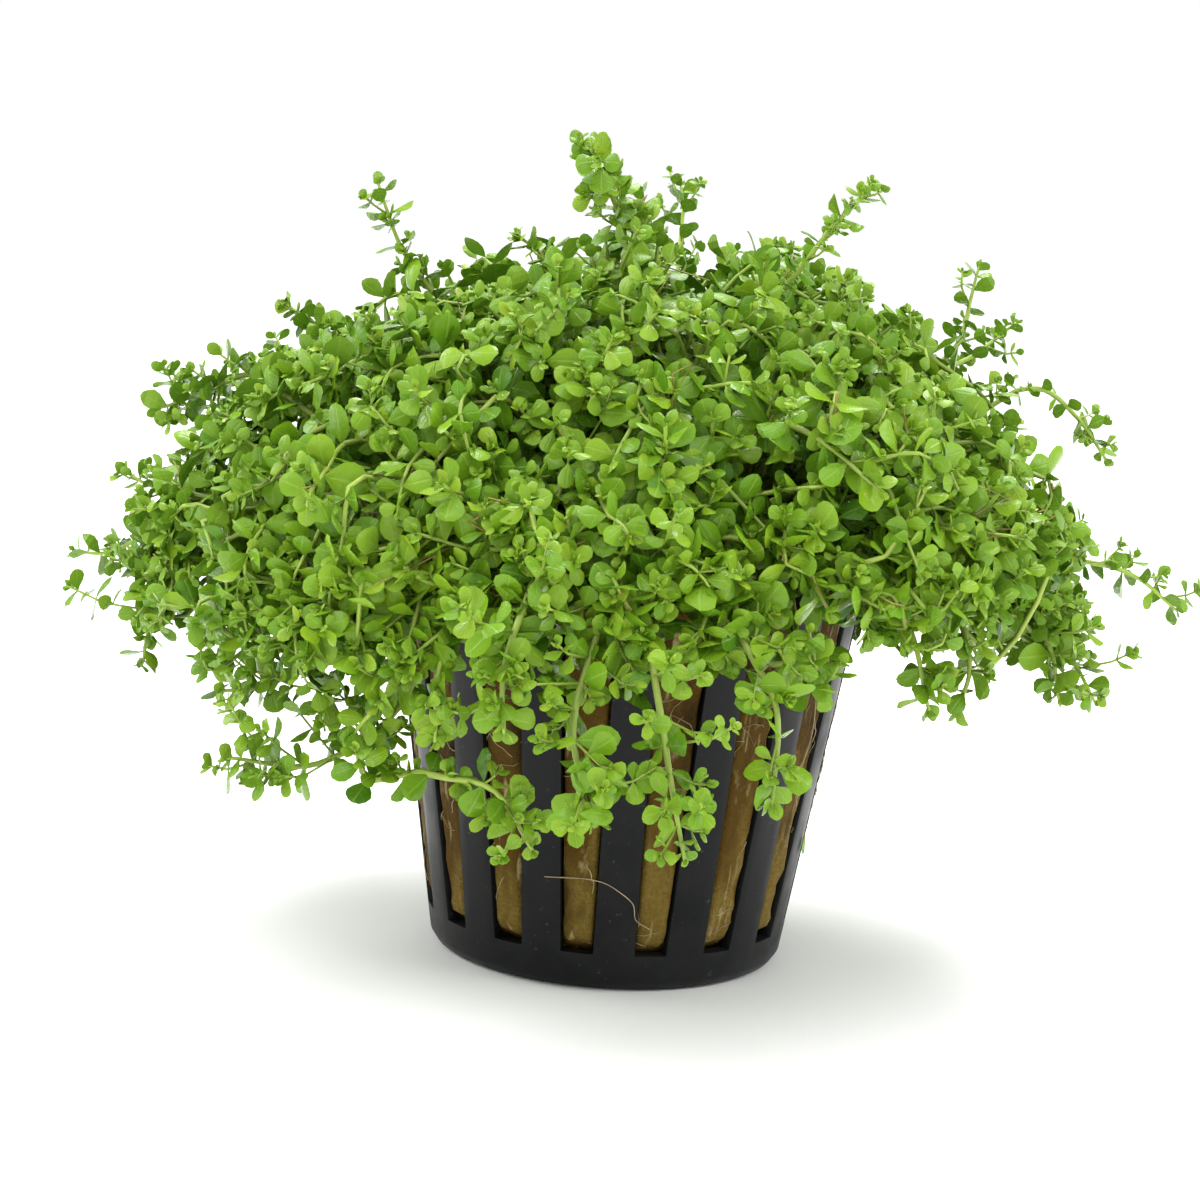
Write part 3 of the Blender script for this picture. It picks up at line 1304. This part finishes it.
def crown_point(name, across, down):
    """Point, outward direction and downhill direction on the crown.

    across runs from 0 to 1 over the tuft's width, down counts steps of the crown line."""
    first, last, reach, low, crest = TUFT_SECTORS[name]
    azimuth = first + across * (last - first)
    step = min(int(down), len(CROWN_LINE) - 2)
    (out_a, up_a), (out_b, up_b) = CROWN_LINE[step:step + 2]
    share = down - step
    radius = (out_a + (out_b - out_a) * share) * reach * MM
    height = (low + (up_a + (up_b - up_a) * share) * (crest - low)) * MM
    point = place(azimuth, radius, height)
    downhill = Vector((out_b - out_a) * reach * place(azimuth, 1, 0) + Vector((0, 0, (up_b - up_a) * (crest - low))))
    downhill.normalize()
    sideways = place(azimuth + 90, 1, 0)
    outwards = downhill.cross(sideways).normalized()
    if outwards.dot(point - INSIDE) < 0:
        outwards.negate()
    return point, outwards, downhill


print("the front of the crown reaches, in millimetres:", TUFT_SECTORS["front"][2])

# %% [markdown]
# ## Measuring the crown
# For tips to be spread evenly, it takes the surface beside each step of that line: the step's length
# times the circle that it sweeps. Tips set at even steps of height would crowd at the edge and leave the
# top bare. The underside is in the shade, so it gets about half as many.

# %% Measure the crown's surface
UNDERSIDE_FROM = 11
UNDERSIDE_DENSITY = 0.55


def crown_runs(name):
    """Millimetres along each step of the crown line."""
    _, _, reach, low, crest = TUFT_SECTORS[name]
    return [
        math.hypot((out_b - out_a) * reach, (up_b - up_a) * (crest - low))
        for (out_a, up_a), (out_b, up_b) in zip(CROWN_LINE, CROWN_LINE[1:])
    ]


def crown_steps(name):
    """How much surface lies beside each step of the crown line, for an even spread of tips."""
    reach = TUFT_SECTORS[name][2]
    weights = []
    for index, (run, (out_a, _), (out_b, _)) in enumerate(zip(crown_runs(name), CROWN_LINE, CROWN_LINE[1:])):
        density = UNDERSIDE_DENSITY if index >= UNDERSIDE_FROM else 1.0
        weights.append(run * (out_a + out_b) * 0.5 * reach * density)
    return np.array(weights)


def crown_lengths(name):
    """Millimetres along the crown line at each of its points."""
    return np.concatenate([[0.0], np.cumsum(crown_runs(name))])


print("crown line over the front, in millimetres:", round(crown_lengths("front")[-1]))

# %% [markdown]
# ## The lumpy surface
# The real crown isn't as smooth as that line, and the solids of the tufts have its lumps. A ray from
# outside towards the solids finds the real place of each tip. A search tree over their faces makes
# thousands of such rays quick.

# %% Find the surface of the solid tufts
SEARCH_REACH = 14 * MM


def frame_tree(names):
    """A search tree over the surfaces of some CAD nodes."""
    points, faces = [], []
    for name in names:
        mesh = nodes[name].data
        mesh.calc_loop_triangles()
        first = len(points)
        points += [vert.co.copy() for vert in mesh.vertices]
        faces += [tuple(first + corner for corner in tri.vertices) for tri in mesh.loop_triangles]
    return BVHTree.FromPolygons(points, faces)


def onto_solid(point, outwards):
    """Move a point along its outward direction onto the surface of the solid tufts."""
    hit = crown_tree.ray_cast(point + outwards * SEARCH_REACH, -outwards, 2 * SEARCH_REACH)
    return hit[0] if hit[0] is not None else point


tuft_nodes = ["tuft_centre"] + ["tuft_" + name for name in TUFT_SECTORS]
crown_tree = frame_tree(tuft_nodes)
print("tufts:", len(tuft_nodes))

# %% [markdown]
# ## From the rockwool to the tip
# Each stem is rooted in the top of the rockwool, also where leaves hide it, so that a look between them
# meets real stems. About half rise through the tuft and end facing outwards. The others come up between
# them and creep over the crown for a short way, mostly downhill but each in its own direction.

# %% Route a stem
UP = np.array([0.0, 0.0, 1.0])
CROWN_MIDDLE = 40 * MM
CROWN_EDGE = 46 * MM
ROOT_HEIGHT = PLUG_TOP - 1.5 * MM
ROOT_RADII = (4, 21)
OUTERMOST_ROOT = 22.5
ROOT_TURN, ROOT_SCATTER = 14, 2.5
LEAST_RISE = 9 * MM
TRAIL_TURN = 55
TRAIL_RISE = 5 * MM
CREEPING_DEPTHS = ((0.0, 4.2), (0.35, 1.4), (0.72, 0.5), (1.0, 0.0))


def waver(line, amount, dice):
    """Let a line wander gently to the sides, least at its root."""
    t = np.linspace(0, 1, len(line))[:, None]
    sway = np.zeros_like(line)
    for waves in (1.3, 2.7):
        direction = dice.normal(0, 1, 3)
        sway += direction * np.sin(2 * math.pi * (waves * t + dice.random())) / waves
    return line + sway * amount * t


def relaxed(line, rounds):
    """Take the kinks out of a line, whose ends stay where they are."""
    for _ in range(rounds):
        line[1:-1] = 0.5 * line[1:-1] + 0.25 * (line[:-2] + line[2:])
    return line


def root_place(point, dice):
    """Where in the rockwool's top a stem that ends at this point is rooted."""
    azimuth = math.degrees(math.atan2(point[0], -point[1])) + dice.normal(0, ROOT_TURN)
    inner, outer = ROOT_RADII
    outwards = min(1.0, math.hypot(point[0], point[1]) / CROWN_EDGE)
    radius = inner + (outer - inner) * outwards + dice.normal(0, ROOT_SCATTER)
    return azimuth, np.array(place(azimuth, min(max(radius, 1.0), OUTERMOST_ROOT) * MM, ROOT_HEIGHT))


def facing_route(tip, outwards, downhill, dice, depth=0.0):
    """A stem that comes out of the tuft and ends facing outwards."""
    outwards, downhill = np.array(outwards), np.array(downhill)
    direction = unit(outwards + downhill * dice.uniform(0.0, 0.6) + UP * 0.2 + dice.normal(0, 0.3, 3))
    tip = np.array(tip) - outwards * depth
    azimuth, foot = root_place(tip, dice)
    span = np.linalg.norm(tip - foot)
    rise = max(LEAST_RISE, 0.45 * (tip[2] - foot[2]) + 6 * MM)
    first = foot + UP * rise + np.array(place(azimuth, 1, 0)) * 0.18 * span
    return waver(curved_line(foot, first, tip - direction * 0.42 * span, tip), 0.7 * MM, dice)


def trailing_route(name, across, down, run, depth, dice):
    """A stem that creeps over a tuft's surface for the last stretch; depths and runs in metres."""
    first, last = TUFT_SECTORS[name][:2]
    lengths = crown_lengths(name)
    at_tip = np.interp(down, np.arange(len(lengths)), lengths)
    heading = math.radians(dice.normal(0, TRAIL_TURN))
    uphill = min(max(0.0, at_tip - math.cos(heading) * run / MM), lengths[-1])
    sideways = math.sin(heading) * run / (math.radians(last - first) * CROWN_MIDDLE)
    points = []
    for share, under in CREEPING_DEPTHS:
        step = np.interp(uphill + (at_tip - uphill) * share, lengths, np.arange(len(lengths)))
        point, outwards, _ = crown_point(name, across + sideways * (1 - share), step)
        points.append(onto_solid(point, outwards) - outwards * (under * MM + depth))
    azimuth, foot = root_place(points[0], dice)
    start = np.array(points[0])
    inner = foot * 0.45 + start * 0.55 + UP * max(2 * MM, 0.12 * np.linalg.norm(start - foot))
    line = smooth_through([foot, foot + UP * TRAIL_RISE, inner] + points, 6)
    return waver(relaxed(line, 8), 0.9 * MM, dice)


print("a creeping stem follows the surface at", len(CREEPING_DEPTHS), "points")

# %% [markdown]
# ## Where stems end in a tuft
# Outer sprigs end on the crown's surface, evenly spread, with a tip for a set area. On the upper
# crown they stand in clumps, with dark hollows between them where none end, as on the real plant.
# Noise in space decides where the hollows are, so they run on from one tuft into the next.

# %% Choose where the stems of the tufts end
AREA_PER_TIP = 22.5
CLUMP_SIZE = 9 * MM
HOLLOW_BELOW = -0.20
HOLLOWS_ABOVE = 52 * MM
TRAILING_SHARE = 0.48
CREEPING_RUNS = (6, 17)
DEEP_TIPS = (4, 10)
SURFACE_TIPS = (0.3, 0.9)


def spread(count, dice):
    """Evenly spread pairs of numbers between 0 and 1."""
    start = dice.random(2)
    steps = np.arange(count)[:, None] * np.array([0.7548776662, 0.5698402910])
    return (start + steps) % 1.0


def in_hollow(point):
    """Whether a place on the upper crown lies in a hollow between two clumps."""
    return point.z > HOLLOWS_ABOVE and noise.noise(point / CLUMP_SIZE) < HOLLOW_BELOW


def tip_depth(deep, dice):
    """How far a tip ends under the crown's surface."""
    return (dice.uniform(*DEEP_TIPS) if deep else dice.normal(*SURFACE_TIPS)) * MM


def light_from(outwards):
    """The light comes from outside and from above."""
    return unit(np.array(outwards) * 0.8 + UP * 0.4)


def tuft_routes(name, dice, thinning=1.0, deep=False):
    """Lines of the stems of one outer tuft, each with its light direction."""
    weights = crown_steps(name)
    first, last = TUFT_SECTORS[name][:2]
    area = weights.sum() * math.radians(last - first)
    count = round(area / AREA_PER_TIP * thinning)
    reached = np.concatenate([[0.0], np.cumsum(weights) / weights.sum()])
    routes = []
    for across, share in spread(count, dice):
        down = np.interp(share, reached, np.arange(len(reached)))
        point, outwards, downhill = crown_point(name, across, down)
        if not deep and in_hollow(point):
            continue
        depth = tip_depth(deep, dice)
        if dice.random() < TRAILING_SHARE:
            line = trailing_route(name, across, down, dice.uniform(*CREEPING_RUNS) * MM, depth, dice)
        else:
            line = facing_route(onto_solid(point, outwards), outwards, downhill, dice, depth)
        routes.append((line, light_from(outwards)))
    return routes


def centre_routes(dice, thinning=1.0, deep=False):
    """The same for the upright tuft in the middle."""
    count = round(math.pi * (CENTRE_RADIUS / MM) ** 2 / AREA_PER_TIP * thinning)
    routes = []
    for turn, share in spread(count, dice):
        radius = CENTRE_RADIUS * math.sqrt(share)
        azimuth = 360 * turn
        outwards = (place(azimuth, 0.9 * radius / CENTRE_RADIUS, 0) + Vector((0, 0, 1.6))).normalized()
        point = onto_solid(place(azimuth, radius, CENTRE_TOP - 3.5 * MM * share), Vector((0, 0, 1)))
        if not deep and in_hollow(point):
            continue
        line = facing_route(point, outwards, place(azimuth, 1, 0), dice, tip_depth(deep, dice))
        routes.append((line, light_from(outwards)))
    return routes


print("tips wanted in the middle tuft:", round(math.pi * (CENTRE_RADIUS / MM) ** 2 / AREA_PER_TIP))

# %% [markdown]
# ## Growing a tuft
# One mesh holds all sprigs of one tuft, because its stems cross and can't be told apart. A second,
# sparser set of sprigs ends deeper, and its shaded leaves close the hollows. Short dry threads hang
# between them. Each tuft has its own seed, so a change to one leaves the others as they are.

# %% Grow the tufts
DEEP_SHARE = 0.33
SMALLEST_SPRIG = 0.62
SPRIG_SPREAD = 0.46
LEAFY_STRETCH = (10, 17)
DEEP_LEAFY = 11 * MM
DEEP_STEM = 0.9
SHADE = 0.7
DRY_THREADS = 14
DRY_POINTS = 9
DRY_UNDER = (4, 10)
DRY_LENGTHS = (4, 8)
DRY_CURL = 2.6 * MM
DRY_AGES = (1.6, 2.4)
TUFT_SHOOTS = (0.20, 3.0 * MM)
TUFT_PATTERNS = ((0.0, tiny_leaf), (1.6 * MM, small_leaf), (2.5 * MM, round_leaf), (DOMED_BELOW, large_leaf))


def add_dry_threads(batch, routes, dice):
    """Short dry stems, ochre and curled, just under the foliage."""
    for index in dice.choice(len(routes), DRY_THREADS, replace=False):
        line = routes[index][0]
        lengths = line_lengths(line)
        start = lengths[-1] - dice.uniform(*DRY_UNDER) * MM
        distances = start + dice.uniform(*DRY_LENGTHS) * MM * np.linspace(0, 1, DRY_POINTS)
        points = np.array([at_distance(line, lengths, distance) for distance in distances])
        curl = waver(points, DRY_CURL, dice)
        radii = np.linspace(0.15, 0.07, DRY_POINTS) * MM
        add_tube(batch, curl, radii, dice.random(), np.full(DRY_POINTS, dice.uniform(*DRY_AGES)), 4, 1)


def grow_tuft(name, routes, deep_routes, dice):
    """One mesh for a tuft; returns its numbers of stems, leaves, deep leaves and triangles."""
    batch = empty_batch()
    leaves, deep_leaves = [], []
    for line, light in routes:
        size = SMALLEST_SPRIG + SPRIG_SPREAD * dice.random() ** 1.25
        add_stem(batch, line, size, 12, 4, dice)
        leaves += add_sprig(batch, line, light, size, dice.uniform(*LEAFY_STRETCH) * MM, TUFT_SHOOTS, dice)
    for line, light in deep_routes:
        add_stem(batch, line, DEEP_STEM, 8, 3, dice)
        deep_leaves += add_sprig(batch, line, light, 1.0, DEEP_LEAFY, (0.0, 0.0), dice)
    for leaf in deep_leaves:
        leaf["age"] += SHADE
        leaf["fold"] = min(leaf["fold"], 0.0)
        leaf["cup"] = min(leaf["cup"], 0.0)
    add_dry_threads(batch, routes, dice)
    add_foliage(batch, leaves, TUFT_PATTERNS)
    add_foliage(batch, deep_leaves, ((0.0, tiny_leaf),))
    tuft = mesh_from_batch("foliage_" + name, batch, [leaf_green, stem_green])
    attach(tuft, ROOT)
    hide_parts("tuft_" + name)
    return len(routes), len(leaves), len(deep_leaves), triangles(tuft)


totals = np.zeros(4, int)
for index, name in enumerate(TUFT_SECTORS):
    dice = np.random.default_rng([SEED, 100 + index])
    routes = tuft_routes(name, dice)
    totals += grow_tuft(name, routes, tuft_routes(name, dice, DEEP_SHARE, True), dice)
dice = np.random.default_rng([SEED, 99])
totals += grow_tuft("centre", centre_routes(dice), centre_routes(dice, DEEP_SHARE, True), dice)
print("stems, leaves, deep leaves and triangles of the tufts:", totals)

# %% [markdown]
# ## The long single stems
# Some stems reach out of the mass on their own, and they give the plant its outline. Chance can't place
# them, so each follows the same route as its solid, given as azimuth, radius and height in millimetres.
# Those that hang in front of the pot are bushy, and those that reach out into the open are thin.

# %% Set out the single stems
ROUTES = {
    "front_1": ((3, 42, 44), (5, 48.5, 34), (8, 51, 23)),
    "front_2": ((-3, 42, 44), (-5, 49, 34), (-2, 51, 26)),
    "front_3": ((15, 42, 44), (18, 48, 37), (17, 50, 28)),
    "front_4": ((-12, 42, 48), (-13, 49, 40), (-12, 50, 33)),
    "front_left_1": ((-33, 35, 40), (-36, 38, 31), (-42, 45, 25.5), (-48, 52, 26)),
    "front_left_2": ((-36, 43, 27.5), (-25, 43.5, 27), (-15, 45, 26.5), (-9, 46.5, 22)),
    "front_left_3": ((-50, 38, 42), (-50, 43, 34.5), (-52, 47, 32), (-54, 50, 31.5)),
    "front_left_4": ((-24, 38, 46), (-23, 45, 37), (-22, 46, 31)),
    "front_left_5": ((-30, 38, 44), (-30, 43.5, 36), (-33, 47.5, 30)),
    "front_left_6": ((-48, 36, 40), (-46, 40, 34), (-45, 42.5, 30)),
    "left_1": ((-90, 44, 48), (-92, 53, 43.5), (-94, 59, 40), (-95, 63, 39.5)),
    "left_2": ((-95, 44, 47), (-96, 50, 47), (-97, 55, 47.5), (-98, 58.5, 48.5)),
    "left_3": ((-100, 37, 60), (-103, 45, 60.5), (-104, 51, 58.5), (-104, 57, 56)),
    "left_4": ((-104, 31, 61), (-106, 36.5, 65), (-109, 41, 67), (-110, 44, 68.5)),
    "left_5": ((-87, 45, 43), (-85, 50, 38), (-82, 52, 33), (-81, 53, 29.5)),
    "back_left_1": ((-136, 44, 52), (-138, 53, 47), (-139, 60, 40)),
    "back_left_2": ((-122, 40, 60), (-121, 49, 61), (-119, 57, 56)),
    "back_left_3": ((-150, 42, 44), (-152, 49, 37), (-149, 53, 29)),
    "back_1": ((178, 42, 52), (176, 51, 47), (175, 59, 41)),
    "back_2": ((166, 42, 44), (167, 49.5, 37), (170, 53, 28)),
    "back_3": ((196, 38, 62), (198, 46, 61), (200, 55, 55)),
    "back_4": ((188, 41, 44), (190, 48, 37), (193, 51, 30)),
    "back_right_1": ((136, 44, 50), (138, 53, 46), (141, 60, 39)),
    "back_right_2": ((124, 40, 44), (122, 47, 36), (119, 50, 29)),
    "back_right_3": ((148, 38, 62), (150, 46, 61), (152, 55, 56)),
    "right_1": ((91, 42, 46), (93, 50, 46.5), (95, 57, 45), (96, 62.5, 41)),
    "right_2": ((97, 38, 62), (98, 44.5, 65), (100, 50, 62), (101, 54, 57.5)),
    "right_3": ((103, 31, 64), (107, 37, 69), (111, 39.5, 74), (113, 41, 78)),
    "right_4": ((85, 42, 44), (83, 47.5, 39), (81, 52, 32.5)),
    "right_5": ((50, 34, 47), (47, 40, 41), (48, 42, 34.5)),
    "right_6": ((59, 38, 46), (56, 42.5, 39), (55, 42.5, 33)),
    "right_7": ((74, 42, 46), (72, 47, 40), (73, 48.5, 33.5)),
    "right_8": ((98, 31, 64), (101, 38, 68.5), (105, 43.5, 72)),
    "top_1": ((-100, 20, 66), (-101, 28, 76), (-101, 31, 83)),
    "top_2": ((40, 18, 70), (44, 25, 80), (47, 30, 86)),
    "top_3": ((170, 18, 70), (172, 26, 80), (174, 31, 85)),
    "top_4": ((-20, 6, 74), (-24, 10, 83), (-28, 15, 88)),
}
BUSHY = ("front_1", "front_2", "front_4", "front_left_1", "left_5")
THIN = ("left_1", "left_2", "left_4", "right_1", "right_2", "right_3", "right_8", "top_1", "top_2", "top_3")
print("single stems:", len(ROUTES), "of them bushy:", len(BUSHY), "and thin:", len(THIN))

# %% [markdown]
# ## Leaves on the single stems
# The leaves grow by the same rules as in the tufts, over a longer stretch of stem, since more of it is
# in the light. Bushy stems have a long side shoot at each joint, thin ones few shoots and small leaves.
# Each stem is led back through the tuft and rooted in the rockwool like the others.

# %% Grow the single stems
SINGLE_SIZES = (0.80, 0.98)
THIN_SIZES = (0.62, 0.74)
SINGLE_LEAFY = 34 * MM
SINGLE_SHOOTS = (0.85, 5.5 * MM)
BUSHY_SHOOTS = (1.0, 8.5 * MM)
THIN_SHOOTS = (0.5, 4.0 * MM)
SINGLE_PATTERNS = ((0.0, small_leaf), (1.8 * MM, round_leaf), (DOMED_BELOW, large_leaf))
OVER_RIM = 57.0
OUTERMOST_START = 18.0


def single_route(route):
    """The route in metres, led back through the tuft to the rockwool."""
    points = [place(azimuth, radius * MM, height * MM) for azimuth, radius, height in route]
    azimuth, radius, height = route[0]
    start = [place(azimuth, min(OUTERMOST_START, 0.5 * radius) * MM, ROOT_HEIGHT)]
    if height < OVER_RIM:
        start.append(place(azimuth, 0.5 * (OUTERMOST_START + radius) * MM, OVER_RIM * MM))
    return smooth_through(start + points)


def grow_single(name, route, dice):
    """One mesh for a single stem with its leaves and side shoots."""
    batch = empty_batch()
    line = waver(single_route(route), 0.25 * MM, dice)
    outwards = np.array(place(route[-1][0], 1, 0))
    light = unit(outwards * 0.6 + UP * 0.7)
    size, shoots = dice.uniform(*SINGLE_SIZES), SINGLE_SHOOTS
    if name in BUSHY:
        shoots = BUSHY_SHOOTS
    elif name in THIN:
        size, shoots = dice.uniform(*THIN_SIZES), THIN_SHOOTS
    add_stem(batch, line, size + 0.15, 30, 6, dice)
    leaves = add_sprig(batch, line, light, size, SINGLE_LEAFY, shoots, dice)
    add_foliage(batch, leaves, SINGLE_PATTERNS)
    sprig = mesh_from_batch("sprig_" + name, batch, [leaf_green, stem_green])
    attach(sprig, ROOT)
    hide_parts("stem_" + name)


for index, (name, route) in enumerate(ROUTES.items()):
    grow_single(name, route, np.random.default_rng([SEED, 200 + index]))

# %% [markdown]
# ## Root threads
# One pale root lies across the front of the pot, over the ribs, and a few fine ones hang from the rim.
# They are thin tubes that follow the pot's wall at the height of a thread, so they touch it all along.
# A scrap of leaf sticks to the wet rib at the right, which is one more copy of the small leaf.

# %% Lay the root threads
# Points of each thread: azimuth in degrees and height in millimetres.
THREADS = (
    ((-18.0, 12.4), (-12.0, 12.6), (-6.0, 12.7), (-1.0, 12.4), (3.0, 11.6), (7.5, 10.2), (8.8, 8.4), (13.0, 7.4)),
    ((58.0, 40.0), (57.0, 34.0), (60.0, 28.0), (58.0, 23.0), (61.0, 19.0)),
    ((-128.0, 38.0), (-131.0, 31.0), (-127.0, 24.0), (-130.0, 16.0), (-126.0, 12.0)),
    ((164.0, 39.0), (161.0, 33.0), (165.0, 27.0), (163.0, 22.0)),
)
THREAD_RADIUS = 0.075 * MM
SCRAP_AT = (74.5, 15.4 * MM)
SCRAP_LIFT = 0.14 * MM


def stuck_scrap():
    """A small leaf that lies flat against the outside of a rib."""
    azimuth, height = SCRAP_AT
    return dict.fromkeys(LEAF_FIELDS, 0.0) | {
        "origin": np.array(place(azimuth, pot_radius(height) + SCRAP_LIFT, height)),
        "along": unit(np.array(place(azimuth + 90, 0.25, -1.0))),
        "normal": np.array(place(azimuth, 1, 0)),
        "length": 2.6 * MM,
        "width": 1.5 * MM,
        "taper": 1.2,
        "cup": -0.3,
        "bend": 0.1,
        "tone": 0.6,
        "age": 0.2,
    }


def make_threads():
    batch = empty_batch()
    add_leaves(batch, small_leaf, [stuck_scrap()])
    for thread in THREADS:
        points = []
        for azimuth, height in thread:
            height *= MM
            points.append(place(azimuth, pot_radius(height) + 1.2 * THREAD_RADIUS, height))
        line = smooth_through(points, 8)
        radii = np.linspace(1.0, 0.6, len(line)) * THREAD_RADIUS
        add_tube(batch, line, radii, 0.5, np.zeros(len(line)), 5, 1)
    threads = mesh_from_batch("root_threads", batch, [leaf_green, root_brown])
    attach(threads, ROOT)
    return threads


threads = make_threads()
print("root threads:", len(THREADS))

# %% [markdown]
# ## Floor and light
# A plain pale floor, a pale sky all round, and large soft lamps: the main one above the front left,
# one at each side, one above the back and a very soft sun overhead. Small hard lights would break the
# leaves up into glare.

# %% Add the floor, the world and the lamps
FLOOR_SIZE = 6.0
FLOOR_WHITE = (0.93, 0.93, 0.925, 1)
FLOOR_SHADE = (0.915, 0.915, 0.91, 1)
SKY_LIGHT = 1.0
LAMP_DISTANCE = 0.9
LAMP_TARGET = Vector((0, 0, 0.05))
SUN_SOFTNESS = 50


def make_floor():
    bm = bmesh.new()
    bmesh.ops.create_grid(bm, x_segments=1, y_segments=1, size=FLOOR_SIZE)
    material, tree, shader = new_material("pale floor")
    patches = place_group(tree, mottling, {"Size": 3.0, "Low": 0.3, "High": 0.7,
                                           "Colour A": FLOOR_WHITE, "Colour B": FLOOR_SHADE})
    tree.links.new(patches.outputs["Colour"], shader.inputs["Base Color"])
    shader.inputs["Roughness"].default_value = 0.7
    floor = mesh_object("floor", bm, material)


def make_world():
    world = bpy.data.worlds.new("pale studio")
    world.use_nodes = True
    background = world.node_tree.nodes["Background"]
    background.inputs["Color"].default_value = (1.0, 1.0, 1.0, 1)
    background.inputs["Strength"].default_value = SKY_LIGHT
    bpy.context.scene.world = world


def hang(data, azimuth, elevation, target):
    """Hang a light at an azimuth and an elevation in degrees, turned to a target."""
    lamp = bpy.data.objects.new(data.name, data)
    rise = math.radians(elevation)
    lamp.location = place(azimuth, LAMP_DISTANCE * math.cos(rise), LAMP_DISTANCE * math.sin(rise))
    lamp.rotation_euler = (target - lamp.location).to_track_quat("-Z", "Y").to_euler()
    bpy.context.scene.collection.objects.link(lamp)


def add_lamp(name, azimuth, elevation, size, power):
    data = bpy.data.lights.new(name, "AREA")
    data.shape = "DISK"
    data.size = size
    data.energy = power
    hang(data, azimuth, elevation, LAMP_TARGET)


def add_sun(name, azimuth, elevation, strength):
    """A very soft sun, which lights the floor evenly out to where it fades into the backdrop."""
    data = bpy.data.lights.new(name, "SUN")
    data.energy = strength
    data.angle = math.radians(SUN_SOFTNESS)
    hang(data, azimuth, elevation, Vector())


make_floor()
make_world()
add_lamp("main lamp", -30, 50, 0.4, 1.65)
add_lamp("right lamp", 75, 35, 0.5, 3.1)
add_lamp("left lamp", -105, 35, 0.5, 4.3)
add_lamp("back lamp", 175, 62, 0.5, 6.8)
add_sun("overhead light", -20, 76, 1.05)
bpy.context.scene.view_settings.view_transform = "Standard"
print("lamps:", len(bpy.data.lights))

# %% [markdown]
# ## Finish
# Dressing a solid must not change its size.

# %% Compare the boxes and finish
bpy.context.view_layer.update()
pieces = [obj for obj in bpy.data.objects if obj.type == "MESH" and obj.name not in nodes and obj.name != "floor"]
print("pieces:", len(pieces), "triangles:", sum(triangles(obj) for obj in pieces))
